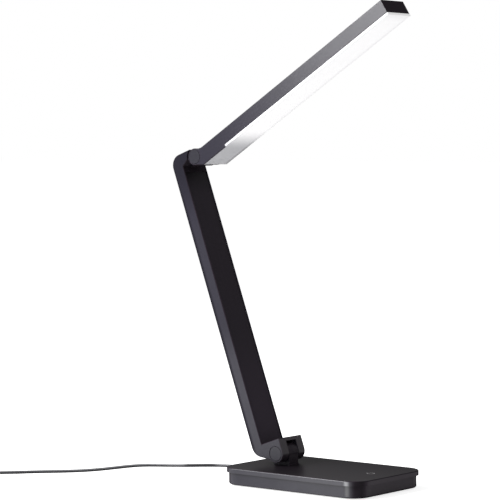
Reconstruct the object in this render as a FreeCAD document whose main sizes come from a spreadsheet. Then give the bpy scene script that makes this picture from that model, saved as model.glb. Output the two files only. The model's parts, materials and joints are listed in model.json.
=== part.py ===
"""LED desk lamp that folds flat: a weighted base, a swing arm, a light bar, and a lead with its plug."""
import FreeCAD, Part
import Sketcher
import math
import operator
import os

Vector = FreeCAD.Vector

# Driving sizes: lengths in millimetres, angles in degrees
SIZES = {
    # base lid
    "lid_length": 160.0,
    "lid_width": 107.0,
    "lid_corner": 19.0,
    "lid_height": 4.5,
    "lid_plate": 2.2,
    "lid_rim": 4.6,
    "lid_edge": 0.9,
    # base tray
    "tray_inset": 2.0,
    "tray_height": 11.4,
    "tray_wall": 2.2,
    "tray_floor": 2.0,
    "tray_edge": 1.8,
    # rubber feet
    "foot_gap": 1.2,
    "foot_radius": 6.0,
    "foot_recess": 0.8,
    "foot_inset_x": 22.0,
    "foot_inset_y": 21.0,
    # base screws and their posts
    "post_radius": 3.4,
    "post_length": 6.3,
    "screw_inset_x": 11.0,
    "screw_radius": 1.25,
    "screw_grip": 4.4,
    "screw_head_radius": 2.4,
    "screw_head_height": 1.6,
    "screw_clearance": 0.15,
    "screw_sink": 0.2,
    # ballast
    "ballast_end_gap": 23.8,
    "ballast_side_gap": 7.3,
    "ballast_thickness": 3.2,
    "ballast_corner": 6.0,
    # base hinge knuckle
    "hinge_setback": 41.5,
    "hinge_height": 11.4,
    "knuckle_radius": 8.4,
    "knuckle_width": 13.6,
    "web_thickness": 16.6,
    "pad_length": 20.0,
    "pad_width": 15.0,
    "pad_height": 1.0,
    "pad_corner": 2.0,
    "spigot_radius": 3.4,
    "knuckle_screw_pitch": 10.8,
    "knuckle_screw_reach": 6.0,
    "knuckle_plate_length": 24.0,
    "knuckle_plate_width": 16.0,
    "knuckle_plate_thickness": 1.2,
    # touch switch and control board
    "touch_inset": 25.0,
    "touch_radius": 7.0,
    "board_standoff": 1.6,
    "board_length": 34.0,
    "board_width": 24.0,
    "board_thickness": 1.2,
    "board_post_radius": 2.4,
    "board_post_pitch": 27.0,
    "board_screw_radius": 0.9,
    "board_screw_head_radius": 1.8,
    "board_screw_head_height": 1.1,
    "chip_side": 5.0,
    "chip_height": 1.2,
    "coil_side": 6.0,
    "coil_height": 2.8,
    "socket_length": 7.0,
    "socket_width": 5.0,
    "socket_height": 3.2,
    "part_spacing": 8.0,
    # inner wires
    "wire_radius": 1.0,
    "wire_height": 9.5,
    "wire_spacing": 8.0,
    "wire_seat": 0.1,
    "wire_slack": 0.4,
    # arm
    "arm_lean": 20.2,
    "arm_width": 34.4,
    "arm_thickness": 12.4,
    "arm_setback": 12.9,
    "arm_reach": 292.2,
    "arm_advance": 3.8,
    "arm_wall": 2.2,
    "arm_edge": 0.5,
    "ear_radius": 8.6,
    "foot_rise": 12.6,
    "slot_width": 14.8,
    "slot_bridge": 3.2,
    "slot_depth": 11.8,
    "sole_slope": 27.5,
    "sole_offset": 6.8,
    "heel_radius": 12.0,
    "shoulder_radius": 10.5,
    "shoulder_drop": 3.5,
    "shoulder_rise": 6.1,
    "relief_radius": 9.4,
    "neck_drop": 4.3,
    # arm front cover
    "rim_width": 1.7,
    "cover_thickness": 1.6,
    "cover_sink": 0.5,
    "cover_ledge": 1.8,
    "cover_margin": 0.6,
    "cover_clearance": 0.1,
    # hinge hardware
    "pin_radius": 2.5,
    "pin_running": 0.05,
    "pin_seat": 0.02,
    "pin_head_radius": 4.4,
    "pin_head_height": 2.4,
    "nut_radius": 4.4,
    "nut_height": 2.6,
    "recess_clearance": 0.15,
    "cap_radius": 6.8,
    "cap_thickness": 1.6,
    "cap_chamfer": 0.35,
    "cap_groove": 0.4,
    "cap_groove_depth": 0.6,
    "washer_radius": 7.4,
    "washer_thickness": 0.5,
    # light bar shell
    "head_rise": 32.1,
    "head_width": 34.8,
    "head_top": 3.2,
    "head_bottom": 12.4,
    "head_lip": 2.3,
    "head_reach": 257.9,
    "head_step": 37.8,
    "head_wall": 1.8,
    "head_roof": 2.0,
    "head_edge": 0.6,
    "head_rear_slope": 32.1,
    "head_rear_offset": 7.35,
    "head_ear_radius": 7.9,
    "ear_blend": 10.0,
    "bay_setback": 4.0,
    "bay_wall_place": 58.0,
    "bay_wall": 2.0,
    # diffuser
    "diffuser_skin": 1.5,
    "diffuser_rib": 1.4,
    "diffuser_clearance": 0.15,
    "toe_rim": 0.8,
    # LED board, LEDs and reflector
    "led_board_start": 64.0,
    "led_board_end_gap": 7.9,
    "led_board_width": 16.0,
    "led_board_thickness": 1.2,
    "led_length": 2.8,
    "led_width": 3.0,
    "led_height": 0.7,
    "led_margin": 3.1,
    "led_screw_side": 5.2,
    "led_screw_grip": 1.5,
    "reflector_sheet": 0.6,
    "reflector_margin": 0.8,
    # lead, gland, coil and tie
    "cord_radius": 1.5,
    "exit_height": 9.4,
    "gland_flange_radius": 3.0,
    "gland_flange": 1.2,
    "gland_neck_radius": 2.3,
    "gland_root_radius": 2.8,
    "gland_tip_radius": 2.0,
    "gland_length": 20.0,
    "gland_groove": 1.0,
    "gland_groove_depth": 0.45,
    "gland_groove_pitch": 2.6,
    "coil_inner_radius": 13.0,
    "coil_pitch": 3.6,
    "coil_layer": 3.6,
    "tie_width": 6.0,
    "tie_thickness": 0.8,
    "tie_clearance": 0.2,
    # plug
    "grip_neck_length": 9.0,
    "grip_neck_radius": 2.1,
    "grip_neck_root_radius": 3.3,
    "grip_length": 22.0,
    "grip_width": 15.6,
    "grip_height": 8.0,
    "grip_corner": 2.5,
    "grip_edge": 1.0,
    "shell_length": 18.8,
    "shell_width": 12.0,
    "shell_height": 4.5,
    "shell_sheet": 0.4,
    "shell_window_length": 2.2,
    "shell_window_width": 2.5,
    "shell_window_spacing": 5.0,
    "shell_window_place": 11.0,
    "tongue_width": 10.6,
    "tongue_height": 1.9,
    "tongue_setback": 1.2,
    # how far a cut runs past the face that it opens
    "overrun": 2.0,
}
LED_COUNT = 30
NUT_SIDES = 6
GLAND_GROOVE_COUNT = 6
CORD_SIDES = 8
COIL_LAYERS = 4
QUARTERS_PER_LAYER = 10
ARC_RUN_SHARE = 0.45
CLIMB_PEAK_SHARE = 1.5
SCREW_SPREAD_SHARE = 0.2
LED_SCREW_SHARE = 0.375
GAP_STEPS = 12
STRAIGHT_SLACK = 1e-9
LEVEL_SLACK = 0.03

# Route of the lead on the desk from the gland's tip to the coil, chosen by hand
LEAD_POINTS = [
    (-99.2, 0.0, 9.4),
    (-111.0, 0.0, 9.4),
    (-127.0, 1.4, 8.1),
    (-145.6, 2.8, 6.3),
    (-167.2, 3.4, 4.1),
    (-190.0, 3.2, 2.3),
    (-206.5, -0.8, 1.6),
    (-216.2, -10.2, 1.6),
    (-221.2, -23.0, 1.6),
    (-224.2, -38.0, 1.6),
    (-228.0, -53.5, 1.6),
    (-234.4, -69.0, 1.6),
    (-245.4, -83.6, 1.6),
    (-259.4, -97.4, 1.6),
    (-273.0, -112.6, 1.6),
    (-284.6, -129.0, 1.9),
    (-294.0, -144.0, 2.6),
    (-303.0, -157.0, 2.6),
]
# Steps of the tail from the coil to the plug: forward, sideways and height above the desk
TAIL_STEPS = [
    (0.0, 0.0, 13.4),
    (7.0, 0.0, 13.4),
    (14.0, 0.5, 12.2),
    (22.0, 1.4, 8.8),
    (30.0, 2.1, 5.6),
    (38.0, 2.5, 4.1),
    (45.0, 2.5, 4.1),
]

doc = FreeCAD.newDocument("desk_lamp")
sheet = doc.addObject("Spreadsheet::Sheet", "Sizes")
pieces = []

OPERATIONS = {"+": operator.add, "-": operator.sub, "*": operator.mul, "/": operator.truediv}


class Size:
    """A number together with the sheet expression that gives it."""

    def __init__(self, value, text):
        self.value = value
        self.text = text

    def __add__(self, other):
        return joined(self, "+", other)

    def __radd__(self, other):
        return joined(other, "+", self)

    def __sub__(self, other):
        return joined(self, "-", other)

    def __rsub__(self, other):
        return joined(other, "-", self)

    def __mul__(self, other):
        return joined(self, "*", other)

    def __rmul__(self, other):
        return joined(other, "*", self)

    def __truediv__(self, other):
        return joined(self, "/", other)

    def __neg__(self):
        return joined(-1, "*", self)


def as_size(number):
    """A plain number as a size."""
    return number if isinstance(number, Size) else Size(float(number), repr(float(number)))


def joined(left, sign, right):
    """Two sizes joined by a sign."""
    left, right = as_size(left), as_size(right)
    value = OPERATIONS[sign](left.value, right.value)
    return Size(value, "(%s %s %s)" % (left.text, sign, right.text))


def sine(angle):
    """The sine of an angle size."""
    return Size(math.sin(math.radians(angle.value)), "sin(%s * 1 deg)" % angle.text)


def cosine(angle):
    """The cosine of an angle size."""
    return Size(math.cos(math.radians(angle.value)), "cos(%s * 1 deg)" % angle.text)


class Sizes:
    """The sheet's cells as named sizes."""

    def __init__(self):
        for row, (name, value) in enumerate(SIZES.items(), 1):
            sheet.set("A%d" % row, name)
            sheet.set("B%d" % row, str(value))
            sheet.setAlias("B%d" % row, name)
            setattr(self, name, Size(value, "Sizes." + name))


size = Sizes()
doc.recompute()

# Levels and places that several pieces share
lid_bottom = size.foot_gap + size.tray_height
lid_top = lid_bottom + size.lid_height
lid_under = lid_top - size.lid_plate
tray_length = size.lid_length - size.tray_inset * 2
tray_width = size.lid_width - size.tray_inset * 2
tray_floor_top = size.foot_gap + size.tray_floor
post_bottom = lid_under - size.post_length
hinge_x = -size.hinge_setback
hinge_z = lid_top + size.hinge_height
touch_x = size.lid_length / 2 - size.touch_inset
board_top = lid_under - size.board_standoff
board_bottom = board_top - size.board_thickness
arm_front = -size.arm_setback
arm_back = -size.arm_setback - size.arm_thickness
head_ceiling = size.head_top - size.head_roof
lip_level = size.head_lip - size.head_bottom
rib_level = lip_level + size.diffuser_rib
toe_level = size.diffuser_skin - size.head_bottom
head_rear = (-size.head_rear_offset * sine(size.head_rear_slope),
             -size.head_rear_offset * cosine(size.head_rear_slope))
head_corner = head_rear[0] + ((size.head_bottom + head_rear[1]) * cosine(size.head_rear_slope)
                              / sine(size.head_rear_slope))
bay_start = size.relief_radius + size.bay_setback
bay_end = size.head_reach - size.head_roof

# Frames of the three bodies: where each stands and how far it is turned about the hinge direction
TURN_AXIS = Vector(0, -1, 0)
upper_x = hinge_x - size.arm_reach * sine(size.arm_lean) + size.arm_advance * cosine(size.arm_lean)
upper_z = hinge_z + size.arm_reach * cosine(size.arm_lean) + size.arm_advance * sine(size.arm_lean)
BASE_FRAME = (as_size(0), as_size(0), as_size(0))
ARM_FRAME = (hinge_x, hinge_z, size.arm_lean)
HEAD_FRAME = (upper_x, upper_z, size.head_rise)


def tie(item, path, value):
    """Bind one property to a size."""
    item.setExpression(path, as_size(value).text)


def stand(item, frame):
    """Place a sub-part in its body's frame and list it for the hand-out of files."""
    x, z, turn = frame
    item.Placement = FreeCAD.Placement(Vector(), FreeCAD.Rotation(TURN_AXIS, turn.value or 1))
    tie(item, "Placement.Rotation.Angle", turn)
    tie(item, "Placement.Base.x", x)
    tie(item, "Placement.Base.z", z)
    pieces.append(item)


def new_body(label, frame=None):
    """An empty body, placed in a frame if it is a sub-part by itself."""
    body = doc.addObject("PartDesign::Body", label)
    if frame:
        stand(body, frame)
    return body


def origin_part(body, role):
    """One of a body's own origin planes or axes."""
    return next(item for item in body.Origin.OriginFeatures if item.Role == role)


def new_sketch(body, plane, level):
    """An empty sketch on an origin plane, moved along the plane's normal to a level."""
    sketch = body.newObject("Sketcher::SketchObject", body.Name + "_sketch")
    sketch.AttachmentSupport = (origin_part(body, plane), [""])
    sketch.MapMode = "FlatFace"
    tie(sketch, "AttachmentOffset.Base.z", level)
    return sketch


def hold(sketch, kind, geometry, point, value):
    """Tie one coordinate of a point of a sketch to a size."""
    value = as_size(value)
    index = sketch.addConstraint(Sketcher.Constraint(kind, -1, 1, geometry, point, value.value))
    sketch.setExpression("Constraints[%d]" % index, value.text)


def flat(point):
    """A sketch point's place as a vector."""
    return Vector(as_size(point[0]).value, as_size(point[1]).value, 0)


def polygon(body, plane, points, level=0):
    """A sketch of a closed outline with straight sides."""
    sketch = new_sketch(body, plane, level)
    ends = points[1:] + points[:1]
    for start, end in zip(points, ends):
        sketch.addGeometry(Part.LineSegment(flat(start), flat(end)), False)
    for index, (x, y) in enumerate(points):
        following = (index + 1) % len(points)
        sketch.addConstraint(Sketcher.Constraint("Coincident", index, 2, following, 1))
        hold(sketch, "DistanceX", index, 1, x)
        hold(sketch, "DistanceY", index, 1, y)
    return sketch


def rectangle(body, plane, low, high, level=0):
    """A sketch of a rectangle between two corners."""
    corners = [low, (high[0], low[1]), high, (low[0], high[1])]
    return polygon(body, plane, corners, level)


def rounded_rectangle(body, plane, half_x, half_y, corner, level=0, middle_x=0):
    """A sketch of a rectangle with round corners about a middle point."""
    sketch = new_sketch(body, plane, level)
    middle = as_size(middle_x)
    sides = [
        ((corner - half_x, -half_y), (half_x - corner, -half_y)),
        ((half_x, corner - half_y), (half_x, half_y - corner)),
        ((half_x - corner, half_y), (corner - half_x, half_y)),
        ((-half_x, half_y - corner), (-half_x, corner - half_y)),
    ]
    sides = [[(middle + x, y) for x, y in side] for side in sides]
    for start, end in sides:
        sketch.addGeometry(Part.LineSegment(flat(start), flat(end)), False)
    for index, (start, end) in enumerate(sides):
        following = sides[(index + 1) % len(sides)][0]
        upright_side = index % 2
        centre = (following[0], end[1]) if upright_side else (end[0], following[1])
        circle = Part.Circle(flat(centre), Vector(0, 0, 1), corner.value)
        turn = math.pi / 2 * (index - 1)
        arc = sketch.addGeometry(Part.ArcOfCircle(circle, turn, turn + math.pi / 2), False)
        sketch.addConstraint(Sketcher.Constraint("Coincident", index, 2, arc, 1))
        sketch.addConstraint(Sketcher.Constraint("Coincident", arc, 2, (index + 1) % len(sides), 1))
        hold(sketch, "DistanceX", arc, 3, centre[0])
        for point, place in ((1, start), (2, end)):
            hold(sketch, "DistanceX", index, point, place[0])
            hold(sketch, "DistanceY", index, point, place[1])
    return sketch


def circles(body, plane, centres, radius, level=0):
    """A sketch of equal circles."""
    sketch = new_sketch(body, plane, level)
    for index, centre in enumerate(centres):
        sketch.addGeometry(Part.Circle(flat(centre), Vector(0, 0, 1), as_size(radius).value), False)
        hold(sketch, "DistanceX", index, 3, centre[0])
        hold(sketch, "DistanceY", index, 3, centre[1])
        held = sketch.addConstraint(Sketcher.Constraint("Radius", index, as_size(radius).value))
        tie(sketch, "Constraints[%d]" % held, radius)
    return sketch


def made(feature):
    """Recompute, and stop at a feature that failed."""
    doc.recompute()
    if "Invalid" in feature.State or feature.Shape.isNull():
        raise RuntimeError(feature.Name + " failed")
    return feature


def extrude(kind, body, sketch, length, both_ways, flip):
    """A pad or a pocket of a sketch."""
    feature = body.newObject("PartDesign::" + kind, body.Name + "_" + kind.lower())
    feature.Profile = sketch
    tie(feature, "Length", length)
    feature.SideType = "Symmetric" if both_ways else "One side"
    feature.Reversed = flip
    return made(feature)


def pad(body, sketch, length, both_ways=False, flip=False):
    """Add material along the sketch's normal."""
    return extrude("Pad", body, sketch, length, both_ways, flip)


def pocket(body, sketch, length, both_ways=False, flip=False):
    """Cut material against the sketch's normal, and make sure that it cuts."""
    before = body.Tip.Shape.Volume
    feature = extrude("Pocket", body, sketch, length, both_ways, flip)
    if feature.Shape.Volume >= before:
        raise RuntimeError(body.Name + ": a pocket cuts nothing")
    return feature


def turned(body, plane, points):
    """A solid of revolution about the sketch's vertical axis."""
    feature = body.newObject("PartDesign::Revolution", body.Name + "_turn")
    feature.Profile = polygon(body, plane, points)
    feature.ReferenceAxis = (feature.Profile[0], ["V_Axis"])
    return made(feature)


def dress(kind, body, amount_name, amount, wanted):
    """Round or chamfer the edges of the body's last shape that a test picks."""
    base = body.Tip
    names = ["Edge%d" % (index + 1) for index, edge in enumerate(base.Shape.Edges) if wanted(edge)]
    feature = body.newObject("PartDesign::" + kind, body.Name + "_" + kind.lower())
    feature.Base = (base, names)
    tie(feature, amount_name, amount)
    return made(feature)


def soften(body, radius, wanted):
    """Round the edges that a test picks."""
    return dress("Fillet", body, "Radius", radius, wanted)


def break_edges(body, width, wanted):
    """Chamfer the edges that a test picks."""
    return dress("Chamfer", body, "Size", width, wanted)


def runs_along(edge, direction):
    """True for a straight edge along a direction."""
    if not isinstance(edge.Curve, Part.Line):
        return False
    return abs(edge.Curve.Direction.dot(direction)) > math.cos(math.radians(1))


def at_level(edge, axis, level):
    """True for an edge whose points all have one coordinate at a level."""
    return all(abs(getattr(vertex.Point, axis) - level.value) < LEVEL_SLACK for vertex in edge.Vertexes)


def upright(edge):
    """True for an edge along +Z."""
    return runs_along(edge, Vector(0, 0, 1))


def rounded_plate(body, length, width, thickness, corner, bottom, middle_x=0):
    """A plate with rounded corners in plan."""
    outline = rounded_rectangle(body, "XY_Plane", length / 2, width / 2, corner, bottom, middle_x)
    pad(body, outline, thickness)


def mirrored_places(x, y):
    """The four places at plus and minus x and y."""
    return [(x * a, y * b) for a in (-1, 1) for b in (-1, 1)]


foot_places = mirrored_places(tray_length / 2 - size.foot_inset_x, tray_width / 2 - size.foot_inset_y)
screw_places = mirrored_places(size.lid_length / 2 - size.screw_inset_x,
                               size.lid_width * SCREW_SPREAD_SHARE)
knuckle_screw_places = [(hinge_x + size.knuckle_screw_pitch / 2 * side, 0) for side in (-1, 1)]
board_post_places = [(touch_x + size.board_post_pitch / 2 * side, 0) for side in (-1, 1)]
head_wire_level = head_ceiling - size.led_board_thickness - size.wire_radius - size.wire_seat
led_board_length = size.head_reach - size.led_board_end_gap - size.led_board_start
led_board_middle = size.led_board_start + led_board_length / 2
led_screw_places = [
    (led_board_middle + led_board_length * LED_SCREW_SHARE * step, size.led_screw_side)
    for step in (-1, 0, 1)
]


# Base shells

def make_base_lid():
    """The lid: a plate with a deep rim, screw posts and board posts under it."""
    body = new_body("base_lid", BASE_FRAME)
    rounded_plate(body, size.lid_length, size.lid_width, size.lid_height, size.lid_corner, lid_bottom)
    half_length = size.lid_length / 2 - size.lid_rim
    half_width = size.lid_width / 2 - size.lid_rim
    corner = size.lid_corner - size.lid_rim
    hollow = rounded_rectangle(body, "XY_Plane", half_length, half_width, corner, lid_bottom)
    pocket(body, hollow, size.lid_height - size.lid_plate, flip=True)
    soften(body, size.lid_edge, lambda edge: at_level(edge, "z", lid_top))
    pad(body, circles(body, "XY_Plane", screw_places, size.post_radius, lid_under), size.post_length,
        flip=True)
    pad(body, circles(body, "XY_Plane", board_post_places, size.board_post_radius, lid_under),
        size.board_standoff, flip=True)
    thread = size.screw_radius + size.pin_seat
    pocket(body, circles(body, "XY_Plane", screw_places, thread, post_bottom), size.screw_grip, flip=True)
    board_thread = size.board_screw_radius + size.pin_seat
    pocket(body, circles(body, "XY_Plane", board_post_places, board_thread, board_top),
           size.board_standoff, flip=True)
    spigot = size.spigot_radius + size.screw_clearance
    pocket(body, circles(body, "XY_Plane", [(hinge_x, 0)], spigot, lid_under), size.lid_plate, flip=True)
    loose = size.screw_radius + size.screw_clearance
    pocket(body, circles(body, "XY_Plane", knuckle_screw_places, loose, lid_under), size.lid_plate,
           flip=True)


def make_base_tray():
    """The lower shell: a tray with screw bosses, recesses for the feet and a hole for the gland."""
    body = new_body("base_tray", BASE_FRAME)
    corner = size.lid_corner - size.tray_inset
    rounded_plate(body, tray_length, tray_width, size.tray_height, corner, size.foot_gap)
    hollow = rounded_rectangle(body, "XY_Plane", tray_length / 2 - size.tray_wall,
                               tray_width / 2 - size.tray_wall, corner - size.tray_wall, lid_bottom)
    pocket(body, hollow, size.tray_height - size.tray_floor)
    soften(body, size.tray_edge, lambda edge: at_level(edge, "z", size.foot_gap))
    pad(body, circles(body, "XY_Plane", screw_places, size.post_radius, tray_floor_top),
        post_bottom - tray_floor_top)
    loose = size.screw_radius + size.screw_clearance
    pocket(body, circles(body, "XY_Plane", screw_places, loose, size.foot_gap), post_bottom - size.foot_gap,
           flip=True)
    sink = size.screw_head_radius + size.screw_clearance
    pocket(body, circles(body, "XY_Plane", screw_places, sink, size.foot_gap),
           size.screw_head_height + size.screw_sink, flip=True)
    pocket(body, circles(body, "XY_Plane", foot_places, size.foot_radius, size.foot_gap), size.foot_recess,
           flip=True)
    rear = -tray_length / 2 - size.overrun
    gland_hole = circles(body, "YZ_Plane", [(0, size.exit_height)], size.gland_neck_radius, rear)
    pocket(body, gland_hole, size.tray_wall + size.overrun * 2, flip=True)


def make_rubber_feet():
    """Four round feet in their recesses."""
    body = new_body("rubber_feet", BASE_FRAME)
    pad(body, circles(body, "XY_Plane", foot_places, size.foot_radius), size.foot_gap + size.foot_recess)


def make_screws(label, places, head_bottom, radius, head_radius, head_height, reach):
    """A group of screws that point up: heads at a level and shanks above them."""
    body = new_body(label, BASE_FRAME)
    pad(body, circles(body, "XY_Plane", places, head_radius, head_bottom), head_height)
    pad(body, circles(body, "XY_Plane", places, radius, head_bottom), head_height + reach)


def make_ballast_plate():
    """The steel plate that weighs the base down, on the tray's floor."""
    body = new_body("ballast_plate", BASE_FRAME)
    length = tray_length - size.tray_wall * 2 - size.ballast_end_gap * 2
    width = tray_width - size.tray_wall * 2 - size.ballast_side_gap * 2
    rounded_plate(body, length, width, size.ballast_thickness, size.ballast_corner, tray_floor_top)


# Base hinge

def make_hinge_knuckle():
    """The knuckle on the lid: a barrel on a web with a pad, and a spigot through the lid."""
    body = new_body("hinge_knuckle", BASE_FRAME)
    rounded_plate(body, size.pad_length, size.pad_width, size.pad_height, size.pad_corner, lid_top, hinge_x)
    half = size.web_thickness / 2
    web = rectangle(body, "XZ_Plane", (hinge_x - half, lid_top), (hinge_x + half, hinge_z))
    pad(body, web, size.knuckle_width, both_ways=True)
    barrel = circles(body, "XZ_Plane", [(hinge_x, hinge_z)], size.knuckle_radius)
    pad(body, barrel, size.knuckle_width, both_ways=True)
    pad(body, circles(body, "XY_Plane", [(hinge_x, 0)], size.spigot_radius, lid_top), size.lid_plate,
        flip=True)
    bore = circles(body, "XZ_Plane", [(hinge_x, hinge_z)], size.pin_radius + size.pin_running)
    pocket(body, bore, size.knuckle_width + size.overrun, both_ways=True)
    thread = size.screw_radius + size.pin_seat
    pocket(body, circles(body, "XY_Plane", knuckle_screw_places, thread, lid_under),
           size.lid_plate + size.knuckle_screw_reach, flip=True)
    passage = size.wire_radius + size.wire_slack
    pocket(body, circles(body, "XY_Plane", [(hinge_x, 0)], passage, lid_under),
           size.lid_plate + size.knuckle_screw_reach, flip=True)


def make_knuckle_plate():
    """The steel plate under the lid that the knuckle's screws pull against."""
    body = new_body("knuckle_plate", BASE_FRAME)
    bottom = lid_under - size.knuckle_plate_thickness
    rounded_plate(body, size.knuckle_plate_length, size.knuckle_plate_width,
                  size.knuckle_plate_thickness, size.pad_corner, bottom, hinge_x)
    loose = size.screw_radius + size.screw_clearance
    pocket(body, circles(body, "XY_Plane", knuckle_screw_places, loose, bottom),
           size.knuckle_plate_thickness, flip=True)
    passage = size.wire_radius + size.wire_slack
    pocket(body, circles(body, "XY_Plane", [(hinge_x, 0)], passage, bottom),
           size.knuckle_plate_thickness, flip=True)


# Touch switch and control board

def make_touch_electrode():
    """The disc of conductive foam between the lid and the board, under the touch mark."""
    body = new_body("touch_electrode", BASE_FRAME)
    pad(body, circles(body, "XY_Plane", [(touch_x, 0)], size.touch_radius, board_top), size.board_standoff)


def make_control_board():
    """The circuit board under the lid, with holes for its two screws."""
    body = new_body("control_board", BASE_FRAME)
    rounded_plate(body, size.board_length, size.board_width, size.board_thickness, size.pad_corner,
                  board_bottom, touch_x)
    loose = size.board_screw_radius + size.screw_clearance
    pocket(body, circles(body, "XY_Plane", board_post_places, loose, board_bottom), size.board_thickness,
           flip=True)


def make_board_parts():
    """The touch chip, the choke and the two sockets on the board's underside."""
    body = new_body("board_parts", BASE_FRAME)
    parts = [
        (touch_x, size.part_spacing, size.chip_side, size.chip_side, size.chip_height),
        (touch_x, -size.part_spacing, size.coil_side, size.coil_side, size.coil_height),
        (touch_x - size.part_spacing, size.wire_spacing, size.socket_length, size.socket_width,
         size.socket_height),
        (touch_x - size.part_spacing, -size.wire_spacing, size.socket_length, size.socket_width,
         size.socket_height),
    ]
    for x, y, length, width, height in parts:
        outline = rectangle(body, "XY_Plane", (x - length / 2, y - width / 2),
                            (x + length / 2, y + width / 2), board_bottom)
        pad(body, outline, height, flip=True)


# Arm

def make_arm_shell():
    """The arm: a channel with a fork at its foot and a knuckle at its shoulder."""
    body = new_body("arm_shell", ARM_FRAME)
    top = size.arm_reach + size.ear_radius
    axis = (size.arm_advance, size.arm_reach)
    sole = (-size.sole_offset * sine(size.sole_slope), -size.sole_offset * cosine(size.sole_slope))
    heel = sole[1] + (sole[0] - arm_back) * sine(size.sole_slope) / cosine(size.sole_slope)
    side = [
        (arm_front, size.foot_rise),
        (size.ear_radius, size.foot_rise),
        (size.ear_radius, 0),
        sole,
        (arm_back, heel),
        (arm_back, top),
        (axis[0], top),
        (axis[0], size.arm_reach + size.shoulder_rise),
        (arm_front, size.arm_reach - size.shoulder_drop),
    ]
    pad(body, polygon(body, "XZ_Plane", side), size.arm_width, both_ways=True)
    pad(body, circles(body, "XZ_Plane", [(0, 0)], size.ear_radius), size.arm_width, both_ways=True)
    soften(body, size.heel_radius,
           lambda edge: at_level(edge, "x", arm_back) and at_level(edge, "z", heel))
    soften(body, size.shoulder_radius,
           lambda edge: at_level(edge, "x", arm_back) and at_level(edge, "z", top))
    half_width = size.arm_width / 2
    break_edges(body, size.arm_edge,
                lambda edge: at_level(edge, "y", half_width) or at_level(edge, "y", -half_width))
    relief = circles(body, "XZ_Plane", [axis], size.relief_radius, size.knuckle_width / 2)
    cut = pocket(body, relief, size.arm_width, flip=True)
    other = body.newObject("PartDesign::Mirrored", "arm_shell_mirrored")
    other.Originals = [cut]
    other.MirrorPlane = (origin_part(body, "XZ_Plane"), [""])
    body.Tip = other
    doc.recompute()
    web_low = size.arm_reach - size.ear_radius
    neck_low = size.arm_reach - size.neck_drop
    web = rectangle(body, "XZ_Plane", (arm_front - size.arm_wall, neck_low), (axis[0], top))
    pad(body, web, size.knuckle_width, both_ways=True)
    pad(body, circles(body, "XZ_Plane", [axis], size.ear_radius), size.knuckle_width, both_ways=True)
    cut_fork(body, (-size.slot_depth, -size.ear_radius - size.overrun),
             (size.ear_radius + size.overrun, size.foot_rise - size.slot_bridge))
    front = arm_front + size.overrun
    seat_width = size.arm_width - size.rim_width * 2
    seat_back = arm_front - size.cover_sink - size.cover_thickness
    seat = rectangle(body, "XZ_Plane", (seat_back, size.foot_rise), (front, web_low - size.cover_margin))
    pocket(body, seat, seat_width, both_ways=True)
    channel = rectangle(body, "XZ_Plane", (arm_back + size.arm_wall, size.foot_rise + size.slot_bridge),
                        (front, web_low - size.arm_wall))
    pocket(body, channel, seat_width - size.cover_ledge * 2, both_ways=True)
    bore = circles(body, "XZ_Plane", [axis], size.pin_radius + size.pin_running)
    pocket(body, bore, size.arm_width, both_ways=True)
    cut_hinge_seats(body, size.arm_width)


def cut_fork(body, low, high):
    """Cut the slot that takes the other body's knuckle."""
    pocket(body, rectangle(body, "XZ_Plane", low, high), size.slot_width, both_ways=True)


def cut_hinge_seats(body, width):
    """Cut the pin's bore through a pair of ears, the recesses for its head, nut and caps, and a groove there."""
    hole = circles(body, "XZ_Plane", [(0, 0)], size.pin_radius + size.pin_seat)
    pocket(body, hole, width + size.overrun, both_ways=True)
    cap = circles(body, "XZ_Plane", [(0, 0)], size.cap_radius + size.recess_clearance, width / 2)
    cap_cut = pocket(body, cap, size.cap_thickness)
    ring = circles(body, "XZ_Plane", [(0, 0)], size.cap_radius + size.cap_groove, width / 2)
    ring_cut = pocket(body, ring, size.cap_groove_depth)
    depth = size.cap_thickness + size.nut_height
    nut = circles(body, "XZ_Plane", [(0, 0)], size.pin_head_radius + size.recess_clearance, width / 2)
    nut_cut = pocket(body, nut, depth)
    other = body.newObject("PartDesign::Mirrored", body.Name + "_mirrored_seats")
    other.Originals = [cap_cut, ring_cut, nut_cut]
    other.MirrorPlane = (origin_part(body, "XZ_Plane"), [""])
    body.Tip = other
    doc.recompute()


def make_arm_front_cover():
    """The flat cover between the arm's rims, on the channel's ledges."""
    body = new_body("arm_front_cover", ARM_FRAME)
    front = arm_front - size.cover_sink
    top = size.arm_reach - size.ear_radius - size.cover_margin - size.cover_clearance
    low = (front - size.cover_thickness, size.foot_rise + size.cover_clearance)
    outline = rectangle(body, "XZ_Plane", low, (front, top))
    width = size.arm_width - size.rim_width * 2 - size.cover_clearance * 2
    pad(body, outline, width, both_ways=True)


def make_arm_wire():
    """The wire that lies on the channel's floor, from the fork to the shoulder."""
    body = new_body("arm_wire", ARM_FRAME)
    start = size.foot_rise + size.slot_bridge
    length = size.arm_reach - size.ear_radius - size.arm_wall - start
    place = (arm_back + size.arm_wall + size.wire_radius + size.wire_seat, 0)
    pad(body, circles(body, "XY_Plane", [place], size.wire_radius, start), length)


# Hinge hardware, alike at both hinges

def make_pin(label, frame, width):
    """The hinge pin: a round head in the near ear and a plain shank to the nut's end."""
    body = new_body(label, frame)
    head_end = size.cap_thickness - width / 2 + size.nut_height - size.pin_head_height
    shank_end = width / 2 - size.cap_thickness - size.pin_seat
    turned(body, "XY_Plane", [
        (0, head_end),
        (size.pin_head_radius, head_end),
        (size.pin_head_radius, head_end + size.pin_head_height),
        (size.pin_radius, head_end + size.pin_head_height),
        (size.pin_radius, shank_end),
        (0, shank_end),
    ])


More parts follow.
